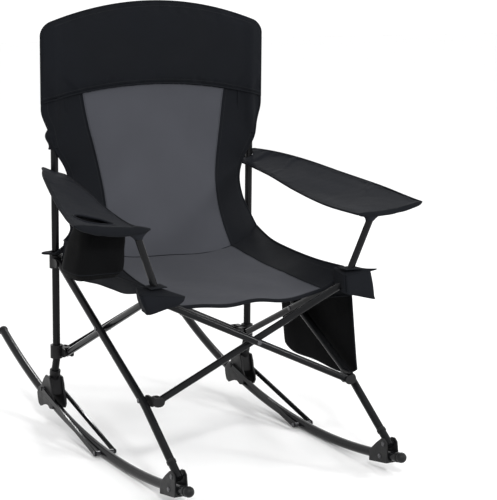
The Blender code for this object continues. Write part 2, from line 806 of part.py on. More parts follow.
def add_bodies():
    """Each moving body's empty sits on its joint, in the order that the fold opens the linkage."""
    right_post = add_body("right_post", at(-POST_X, 0, 0))
    middle = SCISSOR_RISE / 2
    tube_a = add_body("back_tube_a", at(-PIVOT_X, BACK_PLANE_A, 0), right_post)
    add_body("left_slider", at(PIVOT_X, BACK_PLANE_A, SCISSOR_RISE), tube_a)
    tube_b = add_body("back_tube_b", at(0, BACK_PLANE_B, middle), tube_a)
    left_post = add_body("left_post", at(PIVOT_X, BACK_PLANE_B, 0), tube_b)
    add_body("right_slider", at(-PIVOT_X, BACK_PLANE_B, SCISSOR_RISE), tube_b)
    for side, sign in SIDES.items():
        x = sign * POST_X
        post = right_post if side == "right" else left_post
        side_tube = add_body(f"side_tube_{side}", at(sign * SIDE_TUBE_X, SIDE_REAR, 0), post)
        leg = add_body(f"leg_{side}", at(x, SIDE_MIDDLE, middle), side_tube)
        add_body(f"knuckle_{side}", at(x, SIDE_FRONT, 0), leg)
        hub_pivot = at(sign * SIDE_TUBE_X, SIDE_FRONT, SCISSOR_RISE)
        add_body(f"front_hub_{side}", hub_pivot, side_tube)
        rocker = add_body(f"rocker_{side}", at(x, *FOOT_PIVOT), leg)
        add_body(f"links_{side}", at(x, LINK_FORWARD, arc_height(LINK_FORWARD)), rocker)
    knuckle = BODIES["knuckle_right"]
    front_a = add_body("front_tube_a", at(-PIVOT_X, FRONT_PLANE_A, 0), knuckle)
    add_body("front_tube_b", at(0, FRONT_PLANE_B, middle), front_a)


add_bodies()
make_cross_tubes()
make_sling()
make_cup_holder()
make_side_pocket()
for side_name, side_sign in SIDES.items():
    make_rear_post(side_name, side_sign)
    make_rear_hubs(side_name, side_sign)
    make_foot_clip(side_name, side_sign)
    make_side_scissor(side_name, side_sign)
    make_front_hub(side_name, side_sign)
    make_knuckle(side_name, side_sign)
    make_rocker(side_name, side_sign)
    make_links(side_name, side_sign)
    make_post_sleeve(side_name, side_sign)
    make_armrest(side_name, side_sign)
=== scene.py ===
"""Looks of the camp rocking chair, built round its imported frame.

at(x, forward, height) measures from the middle of the lower rear pivots, as the frame's own design
does: +X is the sitter's left, forward is the way the sitter faces. Lengths are in metres.
"""

import json
from math import atan2, copysign, cos, exp, pi, radians, sin, sqrt

import bmesh
import bpy
from mathutils import Matrix, Vector, kdtree, noise


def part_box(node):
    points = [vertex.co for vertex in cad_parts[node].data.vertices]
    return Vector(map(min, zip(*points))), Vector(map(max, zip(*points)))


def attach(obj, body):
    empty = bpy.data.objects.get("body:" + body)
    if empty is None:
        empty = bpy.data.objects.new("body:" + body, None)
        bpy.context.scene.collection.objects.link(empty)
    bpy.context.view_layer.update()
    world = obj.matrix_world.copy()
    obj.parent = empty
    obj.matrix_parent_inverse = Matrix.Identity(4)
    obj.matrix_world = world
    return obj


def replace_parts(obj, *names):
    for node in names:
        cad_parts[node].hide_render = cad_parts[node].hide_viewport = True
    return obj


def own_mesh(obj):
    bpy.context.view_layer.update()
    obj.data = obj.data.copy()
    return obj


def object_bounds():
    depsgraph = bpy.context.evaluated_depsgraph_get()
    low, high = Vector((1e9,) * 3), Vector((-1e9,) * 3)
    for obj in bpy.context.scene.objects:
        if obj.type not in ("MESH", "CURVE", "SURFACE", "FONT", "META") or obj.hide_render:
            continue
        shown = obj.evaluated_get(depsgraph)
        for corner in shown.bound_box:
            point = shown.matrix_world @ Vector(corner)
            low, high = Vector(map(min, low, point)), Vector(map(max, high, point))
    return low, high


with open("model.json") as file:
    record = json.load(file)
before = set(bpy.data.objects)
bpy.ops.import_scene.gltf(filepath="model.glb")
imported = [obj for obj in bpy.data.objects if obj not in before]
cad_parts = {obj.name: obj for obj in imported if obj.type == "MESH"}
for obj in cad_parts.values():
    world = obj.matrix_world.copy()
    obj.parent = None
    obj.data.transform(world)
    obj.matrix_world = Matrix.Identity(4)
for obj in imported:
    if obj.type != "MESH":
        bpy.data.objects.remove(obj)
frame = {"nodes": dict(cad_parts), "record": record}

CAD_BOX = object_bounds()

# Places taken from the frame
POST_LOW, POST_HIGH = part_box("rear_post_left")
HUB_LOW, HUB_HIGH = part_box("rear_lower_hub_left")
POST_RADIUS = 0.009
POST_X = POST_HIGH.x - POST_RADIUS
POST_Y = POST_LOW.y + POST_RADIUS
PIVOT_Z = (HUB_LOW.z + HUB_HIGH.z) / 2
POST_TOP = POST_HIGH.z - PIVOT_Z

# Sizes shared with the frame
PIVOT_INSET = 0.028
PIVOT_X = POST_X - PIVOT_INSET
RISE = 0.220
SIDE_REAR = PIVOT_INSET
SIDE_FRONT = SIDE_REAR + 2 * PIVOT_X
SIDE_TUBE_X = 0.242
CROSS_RADIUS = 0.008
LEG_RADIUS = 0.009
OVERHANG = 0.008
PLANES = {"back": (-0.002, -0.020), "front": (0.515, 0.533)}
FOOT = (0.668, -0.118)
ARM_POST_FOOT = (0.238, 0.518, 0.238)
ARM_POST_TOP = (0.2854, 0.5294, 0.3614)
ARC_RADIUS = 1.830
ARC_CENTRE = (0.350, 1.655)
ARC_ANGLES = (-0.4025, 4.5 * 0.0437)
ROCKER_RADIUS = 0.0106
ROCKER_LIFT = 0.0005
SIDES = {"right": -1, "left": 1}

CLOTH = 0.0014
CLOTH_ANGLE = 60

# Slopes of the crossed tubes when the chair is open and folded, and the width that folding leaves
SLOPE_OPEN, SLOPE_FOLDED = radians(25.37), radians(80.37)
POST_SPAN = 0.520
FOLDED_WIDTH = 2 * PIVOT_X * cos(SLOPE_FOLDED) / cos(SLOPE_OPEN) + 2 * PIVOT_INSET
FOLDED_SPAN = FOLDED_WIDTH / POST_SPAN
ACROSS, ALONG, UPRIGHT = (1, 0, 0), (0, 1, 0), (0, 0, 1)
ARM_FOLD = (0, 0.829, 0.559)


def at(x, forward, height):
    return Vector((x, POST_Y - forward, height + PIVOT_Z))


def on_side(sign, x, forward, height):
    """Place on the left side (sign 1) or its mirror image on the right (sign -1)."""
    return at(sign * x, forward, height)


# What a soft piece rides on, and how it flattens as the chair folds: axis, anchor and share kept
SOFT = {
    "back": ("right_post", ACROSS, at(-POST_X, 0, 0), FOLDED_SPAN),
    "seat_rear": ("leg_right", ACROSS, at(-POST_X, 0, 0), FOLDED_SPAN),
    "seat_front": ("side_tube_right", ACROSS, at(-POST_X, 0, 0), FOLDED_SPAN),
    "arm_right": ("right_post", ARM_FOLD, at(-POST_X, 0, 0.43), 0.03),
    "arm_left": ("left_post", ARM_FOLD, at(POST_X, 0, 0.43), 0.03),
    "pocket": ("left_slider", ALONG, at(POST_X, 0, 0), 0.25),
    "sleeve_right": ("right_post", UPRIGHT, at(-POST_X, 0, 0.60), 0.60),
    "sleeve_left": ("left_post", UPRIGHT, at(POST_X, 0, 0.60), 0.60),
}
FOLDING = []


def lerp(a, b, t):
    return a + (b - a) * t


def smooth(low, high, value):
    """0 below low, 1 above high, and an even rise between them."""
    t = min(1.0, max(0.0, (value - low) / (high - low)))
    return t * t * (3 - 2 * t)


def bell(offset, width):
    """1 where offset is 0, fading out over about two widths."""
    return exp(-((offset / width) ** 2))


def ends(u, power):
    """1 at both ends of u and 0 in its middle. A higher power keeps to the ends."""
    return abs(2 * u - 1) ** power


def root(value):
    """Square root, or 0 for a value that rounding has left below 0."""
    return sqrt(max(0.0, value))


def ripple(size, *place):
    """Smooth unevenness of cloth, up to size either way."""
    return noise.noise(place) * size


def shares(count):
    """Even shares from 0 to 1."""
    return [step / count for step in range(count + 1)]


def degrees(start, stop, step):
    """Angles in radians, from whole degrees."""
    return [radians(angle) for angle in range(start, stop + 1, step)]


def raised(path, lift):
    return [point + Vector((0, 0, lift)) for point in path]


def spline(points, t):
    """Point at t, from 0 to 1, on a smooth curve through evenly timed points."""
    span = t * (len(points) - 1)
    index = min(int(span), len(points) - 2)
    s = span - index
    around = [points[min(max(index + step, 0), len(points) - 1)] for step in (-1, 0, 1, 2)]
    result = []
    for a, b, c, d in zip(*around):
        slope = 2 * b + (c - a) * s
        bend = (2 * a - 5 * b + 4 * c - d) * s**2 + (3 * b - a - 3 * c + d) * s**3
        result.append((slope + bend) / 2)
    return result


# --- materials ---


class Shader:
    """A Principled material whose nodes are added by name."""

    def __init__(self, name, roughness, metallic=0.0, **fixed):
        self.material = bpy.data.materials.new(name)
        self.material.use_nodes = True
        self.tree = self.material.node_tree
        self.bsdf = self.tree.nodes["Principled BSDF"]
        self.fill(self.bsdf, Roughness=roughness, Metallic=metallic, **fixed)

    def put(self, socket, value):
        """Links a node's output to an input, or sets the input's own value."""
        if isinstance(value, bpy.types.NodeSocket):
            self.tree.links.new(value, socket)
        elif socket.type == "RGBA":
            socket.default_value = (*value, 1)
        else:
            socket.default_value = value

    def fill(self, node, **inputs):
        for name, value in inputs.items():
            self.put(node.inputs[name.replace("_", " ")], value)

    def node(self, kind, output, **inputs):
        node = self.tree.nodes.new(f"ShaderNode{kind}")
        self.fill(node, **inputs)
        return node.outputs[output]

    def coordinates(self, kind="Object", scale=(1, 1, 1)):
        return self.node("Mapping", "Vector", Vector=self.node("TexCoord", kind), Scale=scale)

    def noise(self, vector, scale, detail=3.0, roughness=0.5):
        return self.node("TexNoise", "Fac", Vector=vector, Scale=scale, Detail=detail, Roughness=roughness)

    def maths(self, operation, *values):
        node = self.tree.nodes.new("ShaderNodeMath")
        node.operation = operation
        for socket, value in zip(node.inputs, values):
            self.put(socket, value)
        return node.outputs[0]

    def remap(self, value, low, high, to_low=0.0, to_high=1.0):
        limits = {"From_Min": low, "From_Max": high, "To_Min": to_low, "To_Max": to_high}
        return self.node("MapRange", "Result", Value=value, **limits)

    def mix(self, share, first, second):
        node = self.tree.nodes.new("ShaderNodeMix")
        node.data_type = "RGBA"
        for socket, value in ((0, share), (6, first), (7, second)):
            self.put(node.inputs[socket], value)
        return node.outputs[2]

    def bump(self, height, strength, distance, **below):
        return self.node("Bump", "Normal", Height=height, Strength=strength, Distance=distance, **below)

    def surface(self, colour, roughness, normal):
        """Joins the nodes' results to the shader, and returns the material."""
        self.fill(self.bsdf, Base_Color=colour, Roughness=roughness, Normal=normal)
        return self.material


def tint(colour, factor, extra=0.0):
    return tuple(channel * factor + extra for channel in colour)


def woven(name, colour, lift, thread=0.0011, sheen=0.03, gloss=0.10):
    """Plain-weave polyester: threads over and under with painted shade where they dip, slubs, faint creases
    and a dusty bloom.
    """
    shader = Shader(name, 0.82, Sheen_Weight=sheen, Sheen_Roughness=0.45, Specular_IOR_Level=gloss)
    split = shader.tree.nodes.new("ShaderNodeSeparateXYZ")
    shader.fill(split, Vector=shader.node("UVMap", "UV"))
    turns = pi / thread
    warp, weft = (
        shader.maths("SINE", shader.maths("MULTIPLY", split.outputs[axis], turns)) for axis in "XY"
    )
    weave = shader.remap(shader.maths("MULTIPLY", warp, weft), -1, 1)
    place = shader.coordinates()
    cloud = shader.noise(place, 7.0, 4.0)
    slub = shader.noise(shader.coordinates("UV", (60, 900, 1)), 1.0, 2.0)
    light = tint(colour, lift)
    # Painted shade: the threads darken where the weave's height is low, in the hollows between them
    threads = shader.mix(shader.remap(weave, 0.1, 0.9), tint(colour, 0.72), colour)
    streaks = shader.mix(shader.remap(slub, 0.62, 0.85, 0.0, 0.35), threads, light)
    creases = shader.bump(shader.noise(place, 14.0, 5.0, 0.55), 0.20, 0.006)
    return shader.surface(
        shader.mix(shader.remap(cloud, 0.45, 0.75, 0.0, 0.30), streaks, light),
        shader.remap(cloud, 0.3, 0.7, 0.76, 0.9),
        shader.bump(weave, 0.35, 0.0004, Normal=creases),
    )


def powder_coat(name, colour):
    """Satin powder coat: fine orange peel, dull handled patches and a little dust."""
    shader = Shader(name, 0.15, Specular_IOR_Level=0.10)
    place = shader.coordinates()
    dust = shader.noise(place, 11.0, 5.0, 0.6)
    fleck = shader.noise(place, 900.0, 2.0)
    light = tint(colour, 2.1, 0.006)
    base = shader.mix(shader.remap(fleck, 0.4, 0.7, 0.0, 0.35), colour, light)
    return shader.surface(
        shader.mix(shader.remap(dust, 0.55, 0.8, 0.0, 0.3), base, light),
        shader.remap(dust, 0.3, 0.75, 0.09, 0.20),
        shader.bump(fleck, 0.12, 0.0004),
    )


def moulded_plastic(name, colour):
    """Moulded nylon: eroded grain, with rubbed lighter patches."""
    shader = Shader(name, 0.44, Specular_IOR_Level=0.20)
    place = shader.coordinates()
    grain = shader.noise(place, 1400.0, 2.0)
    rub = shader.noise(place, 40.0, 4.0)
    return shader.surface(
        shader.mix(shader.remap(rub, 0.52, 0.72, 0.0, 0.6), colour, tint(colour, 1.9, 0.004)),
        shader.remap(rub, 0.35, 0.7, 0.38, 0.58),
        shader.bump(grain, 0.22, 0.0005),
    )


def plated_steel(name, colour):
    """Plated rivet steel, with dull and dirty spots."""
    shader = Shader(name, 0.27, 1.0)
    spots = shader.noise(shader.coordinates(), 260.0, 4.0)
    return shader.surface(
        shader.mix(shader.remap(spots, 0.5, 0.75, 0.0, 0.7), colour, tint(colour, 0.55)),
        shader.remap(spots, 0.3, 0.7, 0.2, 0.42),
        shader.bump(spots, 0.1, 0.0003),
    )


LOOKS = {
    "powder_coat": powder_coat("black powder coat", (0.0048, 0.0050, 0.0056)),
    "black_plastic": moulded_plastic("black nylon", (0.0045, 0.0045, 0.005)),
    "bright_rivet": plated_steel("plated steel", (0.085, 0.085, 0.09)),
    "black_cloth": woven("black polyester", (0.0056, 0.0064, 0.0084), 1.7, sheen=0.010, gloss=0.08),
    "grey_cloth": woven("grey polyester", (0.0525, 0.0545, 0.0635), 1.25),
    "arm_cloth": woven("charcoal polyester", (0.0092, 0.0103, 0.0135), 1.5, sheen=0.015, gloss=0.08),
    # Painted shade: a darker copy of the black cloth for the hollow of the cup holder, worn by the side
    # pocket too
    "pocket_cloth": woven("black polyester darkened for painted shade", (0.0026, 0.0027, 0.0030), 1.6, sheen=0.0, gloss=0.05),
    "thread": woven("grey thread", (0.020, 0.021, 0.023), 1.5, 0.0006, 0.05),
}


# --- building ---


def dress(mesh, look):
    mesh.materials.clear()
    mesh.materials.append(LOOKS[look])


def add_object(name, data):
    obj = bpy.data.objects.new(name, data)
    bpy.context.scene.collection.objects.link(obj)
    return obj


def new_object(name, mesh, look, body, smooth_angle=40):
    """Piece of the visual model. body is a body's name, or a key of SOFT for a piece that folds."""
    obj = add_object(name, mesh)
    dress(mesh, look)
    mesh.shade_smooth()
    mesh.set_sharp_from_angle(angle=radians(smooth_angle))
    if body in SOFT:
        FOLDING.append((obj, *SOFT[body][1:]))
        body = SOFT[body][0]
    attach(obj, body)
    return obj


def object_from(name, shape, look, body, smooth_angle=40):
    mesh = bpy.data.meshes.new(name)
    shape.to_mesh(mesh)
    shape.free()
    return new_object(name, mesh, look, body, smooth_angle)


def add_ring(shape, centre, side, other, radius, sides):
    """Adds a circle of vertices to a bmesh."""
    angles = [2 * pi * step / sides for step in range(sides)]
    spokes = [side * cos(angle) + other * sin(angle) for angle in angles]
    return [shape.verts.new(centre + spoke * radius) for spoke in spokes]


def add_tube(shape, path, radius, sides):
    """Adds a closed tube along a path to a bmesh."""
    rings = []
    side = None
    for index, point in enumerate(path):
        ahead = path[min(index + 1, len(path) - 1)] - path[max(index - 1, 0)]
        ahead.normalize()
        if side is None:
            side = Vector((0, 0, 1)) if abs(ahead.z) < 0.9 else Vector((1, 0, 0))
        side = (side - ahead * side.dot(ahead)).normalized()
        rings.append(add_ring(shape, point, side, ahead.cross(side), radius, sides))
    for low, high in zip(rings, rings[1:]):
        for step in range(sides):
            after = (step + 1) % sides
            shape.faces.new((low[step], low[after], high[after], high[step]))
    shape.faces.new(list(reversed(rings[0])))
    shape.faces.new(rings[-1])


def tube(name, path, radius, look, body, sides):
    shape = bmesh.new()
    add_tube(shape, path, radius, sides)
    return object_from(name, shape, look, body)


def lathe(name, start, direction, profile, body, look="black_plastic", sides=24):
    """Turned piece. profile holds (distance along direction, radius)."""
    shape = bmesh.new()
    direction = direction.normalized()
    side = direction.orthogonal().normalized()
    other = direction.cross(side)
    rings = []
    for along, radius in profile:
        centre = start + direction * along
        pointed = radius < 1e-6
        rings.append(
            [shape.verts.new(centre)] if pointed else add_ring(shape, centre, side, other, radius, sides)
        )
    for low, high in zip(rings, rings[1:]):
        for step in range(sides):
            after = (step + 1) % sides
            corners = [low[step % len(low)], low[after % len(low)]]
            corners += [high[after % len(high)], high[step % len(high)]]
            unique = list(dict.fromkeys(corners))
            if len(unique) > 2:
                shape.faces.new(unique)
    bmesh.ops.recalc_face_normals(shape, faces=shape.faces)
    return object_from(name, shape, look, body)


def grid(shape_of, columns, rows):
    """bmesh grid of shape_of(u, v), u and v from 0 to 1, with its UVs in metres along the cloth."""
    shape = bmesh.new()
    layer = shape.loops.layers.uv.new("UVMap")
    points = [[shape_of(u, v) for u in shares(columns)] for v in shares(rows)]
    verts = [[shape.verts.new(point) for point in line] for line in points]
    middle = columns // 2
    down = 0.0
    places = {}
    for row, line in enumerate(points):
        if row:
            down += (line[middle] - points[row - 1][middle]).length
        along = [0.0]
        for first, second in zip(line, line[1:]):
            along.append(along[-1] + (second - first).length)
        for vert, distance in zip(verts[row], along):
            places[vert] = (distance - along[middle], down)
    for near, far in zip(verts, verts[1:]):
        for column in range(columns):
            face = shape.faces.new((near[column], near[column + 1], far[column + 1], far[column]))
            for loop in face.loops:
                loop[layer].uv = places[loop.vert]
    return shape


def cut_of(shape):
    """Width and length of a cloth's cut, from its grid's UVs, and its area."""
    layer = shape.loops.layers.uv.active
    spots = [loop[layer].uv for face in shape.faces for loop in face.loops]
    width = max(uv.x for uv in spots) - min(uv.x for uv in spots)
    length = max(uv.y for uv in spots) - min(uv.y for uv in spots)
    return (width, length), area_of(shape)


def area_of(shape):
    return sum(face.calc_area() for face in shape.faces)


def sheet(name, shape, cut, look, body, thickness, offset):
    """A sheet of cloth from its shape. cut, the size that it was cut to, is not used."""
    obj = object_from(name, shape, look, body, CLOTH_ANGLE)
    thicken(obj, thickness, offset)
    return obj


def cloth(name, shape_of, columns, rows, body, look="black_cloth", thickness=CLOTH):
    """A sheet of cloth from shape_of(u, v), with half of its thickness on either side."""
    shape = grid(shape_of, columns, rows)
    return sheet(name, shape, cut_of(shape), look, body, thickness, 0)


def thicken(obj, thickness, offset):
    """Gives a cloth its thickness, with crisp cut edges."""
    wall = obj.modifiers.new("cloth", "SOLIDIFY")
    wall.thickness = thickness
    wall.offset = offset
    mesh = modified_mesh(obj)
    obj.modifiers.clear()
    obj.data = mesh
    mesh.shade_smooth()
    mesh.set_sharp_from_angle(angle=radians(CLOTH_ANGLE))


def modified_mesh(obj):
    """Copy of an object's mesh as its modifiers leave it."""
    bpy.context.view_layer.update()
    return bpy.data.meshes.new_from_object(obj.evaluated_get(bpy.context.evaluated_depsgraph_get()))


STITCH, STITCH_GAP, STITCH_RADIUS, STITCH_STEP = 0.0034, 0.0016, 0.00038, 0.0004


def stitches(name, path, body):
    """A row of raised stitches along a path that lies on the cloth."""
    shape = bmesh.new()
    travelled = 0.0
    start = None
    for first, second in zip(path, path[1:]):
        run = (second - first).length
        steps = max(1, int(run / STITCH_STEP))
        for step in range(steps):
            point = first.lerp(second, step / steps)
            sewing = travelled % (STITCH + STITCH_GAP) < STITCH
            if sewing and start is None:
                start = point
            if not sewing and start is not None:
                add_tube(shape, [start, point], STITCH_RADIUS, 6)
                start = None
            travelled += run / steps
    return object_from(name, shape, "thread", body)


def piping(name, path, radius, body, look="black_cloth"):
    return tube(name, path, radius, look, body, 12)


def pillow(name, columns, rows, face_of, look, body, swell, holes=()):
    """Padded piece of two faces sewn at the rim: face_of(u, v, 1) is its top, and -1 its underside.

    Its rim stays where it is sewn, and the simulation swells the rest."""
    shape = grid(lambda u, v: face_of(u, v, 1), columns, rows)
    under = grid(lambda u, v: face_of(u, v, -1), columns, rows)
    bmesh.ops.reverse_faces(under, faces=under.faces)
    mesh = bpy.data.meshes.new(name)
    under.to_mesh(mesh)
    under.free()
    shape.from_mesh(mesh)
    rim = [vert for vert in shape.verts if vert.is_boundary]
    bmesh.ops.remove_doubles(shape, verts=rim, dist=0.0013)
    bmesh.ops.recalc_face_normals(shape, faces=shape.faces)
    shape.to_mesh(mesh)
    shape.free()
    edge = [face_of(u, v, 0) for u in (0, 1) for v in shares(rows)]
    edge += [face_of(u, v, 0) for v in (0, 1) for u in shares(columns)]
    inflate(mesh, edge, swell)
    for start, end, radius in holes:
        mesh = punch(mesh, start, end, radius)
    obj = new_object(name, mesh, look, body, CLOTH_ANGLE)
    return obj


SEWN_WIDTH = 0.004
PRESSURE = 4
SHRINKING = -0.03
FRAMES = 20


def inflate(mesh, edge, swell):
    """Swells a padded piece by cloth simulation, and moves no point further than swell."""
    tree = kdtree.KDTree(len(edge))
    for index, point in enumerate(edge):
        tree.insert(point, index)
    tree.balance()
    obj = add_object("swelling", mesh)
    sewn = obj.vertex_groups.new(name="sewn")
    sewn.add([vert.index for vert in mesh.vertices if tree.find(vert.co)[2] < SEWN_WIDTH], 1, "REPLACE")
    settings = obj.modifiers.new("swelling", "CLOTH").settings
    settings.quality = 5
    settings.use_pressure = True
    settings.uniform_pressure_force = PRESSURE
    settings.vertex_group_mass = sewn.name
    settings.shrink_min = SHRINKING
    settings.effector_weights.gravity = 0
    scene = bpy.context.scene
    for number in range(1, FRAMES + 1):
        scene.frame_set(number)
    moved = obj.evaluated_get(bpy.context.evaluated_depsgraph_get()).data.vertices
    for vert, new in zip(mesh.vertices, [vert.co.copy() for vert in moved]):
        shift = new - vert.co
        if shift.length > swell:
            shift = shift * (swell / shift.length)
        vert.co = vert.co + shift
    scene.frame_set(1)
    bpy.data.objects.remove(obj, do_unlink=True)


def punch(mesh, start, end, radius):
    """Mesh with a round hole cut through it."""
    obj = add_object("punched", mesh)
    bpy.ops.mesh.primitive_cylinder_add(vertices=48, radius=radius, depth=(end - start).length)
    tool = bpy.context.object
    tool.location = (start + end) / 2
    cut = obj.modifiers.new("hole", "BOOLEAN")
    cut.operation = "DIFFERENCE"
    cut.object = tool
    result = modified_mesh(obj)
    bpy.data.objects.remove(tool, do_unlink=True)
    bpy.data.objects.remove(obj, do_unlink=True)
    drop_twins(result)
    return result


def drop_twins(mesh):
    """Deletes faces that share all their corners, which a cut can leave on a thin rim."""
    shape = bmesh.new()
    shape.from_mesh(mesh)
    shape.verts.index_update()
    by_corners = {}
    for face in shape.faces:
        by_corners.setdefault(tuple(sorted(vert.index for vert in face.verts)), []).append(face)
    twins = [face for faces in by_corners.values() if len(faces) > 1 for face in faces]
    bmesh.ops.delete(shape, geom=twins, context="FACES")
    shape.to_mesh(mesh)
    shape.free()


# --- frame ---


def end_plug(name, point, outward, radius, body):
    """Domed plastic plug in a tube's end."""
    inner, flange, dome = radius * 0.86, 0.0012, 0.0022
    profile = [(-0.006, inner), (0, inner), (0, radius), (flange, radius)]
    profile += [(flange + dome * sin(a), radius * cos(a)) for a in degrees(18, 90, 18)]
    lathe(name, point, outward, profile, body)


def frame_tube(node, path, radius, body, plugs=(True, True)):
    """Smooth tube that stands for a CAD tube, with a plug in each open end."""
    plug_depth = 0.0032
    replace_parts(tube(f"{node}_tube", path, radius, "powder_coat", body, 32), node)
    tips = ((path[0], path[0] - path[1]), (path[-1], path[-1] - path[-2]))
    for number, ((point, outward), wanted) in enumerate(zip(tips, plugs)):
        if wanted:
            seat = point - outward.normalized() * plug_depth
            end_plug(f"{node}_plug_{number}", seat, outward, radius, body)


def rounded_path(points, fillet, steps=8):
    """Path whose inner corners are turned into bends."""
    path = [points[0]]
    for before, corner, after in zip(points, points[1:], points[2:]):
        enter = corner + (before - corner).normalized() * fillet
        leave = corner + (after - corner).normalized() * fillet
        path += [enter.lerp(corner, t).lerp(corner.lerp(leave, t), t) for t in shares(steps)]
    path.append(points[-1])
    return path


def straight(start, end):
    """Path of a crossed tube, which passes its end pivots a little."""
    overhang = (end - start).normalized() * OVERHANG
    return [start - overhang, start, end, end + overhang]


def make_tubes():
    for place, planes in PLANES.items():
        for letter, plane, side in zip("ab", planes, (-1, 1)):
            path = straight(at(side * PIVOT_X, plane, 0), at(-side * PIVOT_X, plane, RISE))
            frame_tube(f"{place}_cross_tube_{letter}", path, CROSS_RADIUS, f"{place}_tube_{letter}")
    for side, sign in SIDES.items():
        x = sign * POST_X
        path = straight(at(sign * SIDE_TUBE_X, SIDE_REAR, 0), at(sign * SIDE_TUBE_X, SIDE_FRONT, RISE))
        frame_tube(f"side_cross_tube_{side}", path, CROSS_RADIUS, f"side_tube_{side}")

        top, knuckle = at(x, SIDE_REAR, RISE), at(x, SIDE_FRONT, 0)
        along = (knuckle - top).normalized()
        bend = knuckle + along * 0.014
        foot = at(x, *FOOT)
        toe = (foot - bend).normalized()
        corners = [top - along * 0.007, bend, foot + toe * OVERHANG]
        frame_tube(f"front_leg_{side}", rounded_path(corners, 0.018), LEG_RADIUS, f"leg_{side}")
        collar = [(-0.004, 0.0092), (-0.003, 0.0104), (0.003, 0.0104), (0.004, 0.0092)]
        lathe(f"leg_collar_{side}", foot - toe * 0.037, toe, collar, f"leg_{side}")

        corners = [at(x, 0, POST_TOP), at(x, 0, -0.018), at(x, -0.006, -0.034), at(x, -0.024, -0.090)]
        path = rounded_path(corners, 0.007, 5)
        frame_tube(f"rear_post_{side}", path, POST_RADIUS, f"{side}_post", (False, False))

        start, end = on_side(sign, *ARM_POST_FOOT), on_side(sign, *ARM_POST_TOP)
        begin = start + (end - start).normalized() * 0.0083
        frame_tube(f"arm_post_{side}", [begin, end], CROSS_RADIUS, f"front_hub_{side}", (False, True))

        arc = []
        for angle in (lerp(*ARC_ANGLES, share) for share in shares(72)):
            forward = ARC_CENTRE[0] + ARC_RADIUS * sin(angle)
            arc.append(at(x, forward, ARC_CENTRE[1] - ARC_RADIUS * cos(angle) + ROCKER_LIFT))
        frame_tube(f"rocker_tube_{side}", arc, ROCKER_RADIUS, f"rocker_{side}", (False, False))


def body_of(node):
    return next(body for body, nodes in frame["record"]["behaviour"]["bodies"].items() if node in nodes)


def bevel(obj, width, segments):
    edges = obj.modifiers.new("edges", "BEVEL")
    edges.width = width
    edges.segments = segments
    return edges


def softened(node, look, width=0.0008):
    """Copy of a CAD solid with rounded edges, which stands for the solid."""
    shape = bmesh.new()
    shape.from_mesh(frame["nodes"][node].data)
    bmesh.ops.remove_doubles(shape, verts=shape.verts, dist=0.00002)
    bmesh.ops.dissolve_limit(shape, angle_limit=radians(1), verts=shape.verts, edges=shape.edges)
    obj = object_from(f"{node}_moulded", shape, look, body_of(node), 32)
    edges = bevel(obj, width, 2)
    edges.limit_method = "ANGLE"
    edges.angle_limit = radians(35)
    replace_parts(obj, node)


def rivet(node):
    """Pin with domed heads, from the CAD pin's own box."""
    low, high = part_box(node)
    size = high - low
    axis = max(range(3), key=lambda index: size[index])
    direction = Vector([float(index == axis) for index in range(3)])
    half = size[axis] / 2
    head, shaft, skirt, dome = 0.0056, 0.0029, 0.0014, 0.0009
    crown = [(dome * sin(a), head * cos(a)) for a in degrees(0, 90, 15)]
    start = [(-half + skirt * 0.5 - lift, radius) for lift, radius in reversed(crown)]
    start += [(-half + skirt, head), (-half + skirt, shaft)]
    profile = start + [(-along, radius) for along, radius in reversed(start)]
    centre = (low + high) / 2
    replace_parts(lathe(f"{node}_head", centre, direction, profile, body_of(node), "bright_rivet"), node)


def moulding(name, outline, x, thickness, body, edge=0.0014):
    """Rounded plastic plate across X, from an outline of (forward, height)."""
    shape = bmesh.new()
    near = [shape.verts.new(at(x - thickness / 2, *corner)) for corner in outline]
    far = [shape.verts.new(at(x + thickness / 2, *corner)) for corner in outline]
    shape.faces.new(near)
    shape.faces.new(list(reversed(far)))
    for index in range(len(outline)):
        after = (index + 1) % len(outline)
        shape.faces.new((near[after], near[index], far[index], far[after]))
    bmesh.ops.recalc_face_normals(shape, faces=shape.faces)
    bevel(object_from(name, shape, "black_plastic", body), edge, 3)


CHEEK = (
    (-0.084, -0.1330), (-0.087, -0.1200), (-0.078, -0.1060), (-0.056, -0.0930), (-0.043, -0.0760),
    (-0.030, -0.0640), (-0.004, -0.0660), (0.004, -0.0820), (0.008, -0.1010), (0.017, -0.1130),
    (0.019, -0.1290), (0.012, -0.1400), (-0.004, -0.1430), (-0.018, -0.1370), (-0.034, -0.1390),
    (-0.052, -0.1450), (-0.066, -0.1510), (-0.078, -0.1460),
)
CLIP_WEB = (
    (-0.058, -0.098), (-0.040, -0.074), (-0.028, -0.066),
    (-0.008, -0.068), (-0.002, -0.086), (0.002, -0.108),
)


def foot_clip(node, sign):
    """Collar on the post's foot, and two cheeks that straddle the rocker."""
    x = sign * POST_X
    body = body_of(node)
    start, end = at(x, -0.0095, -0.048), at(x, -0.0245, -0.094)
    length = (end - start).length
    profile = [(0, 0.0097), (0, 0.0118), (0.0012, 0.0130), (0.012, 0.0130), (0.016, 0.0118)]
    profile += [(length, 0.0118), (length, 0.0060)]
    collar = lathe(f"{node}_collar", start, end - start, profile, body)
    for number, offset in enumerate((-0.0154, 0.0154)):
        moulding(f"{node}_cheek_{number}", CHEEK, x + offset, 0.0055, body)
    moulding(f"{node}_web", CLIP_WEB, x, 0.0300, body, 0.0008)
    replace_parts(collar, node)


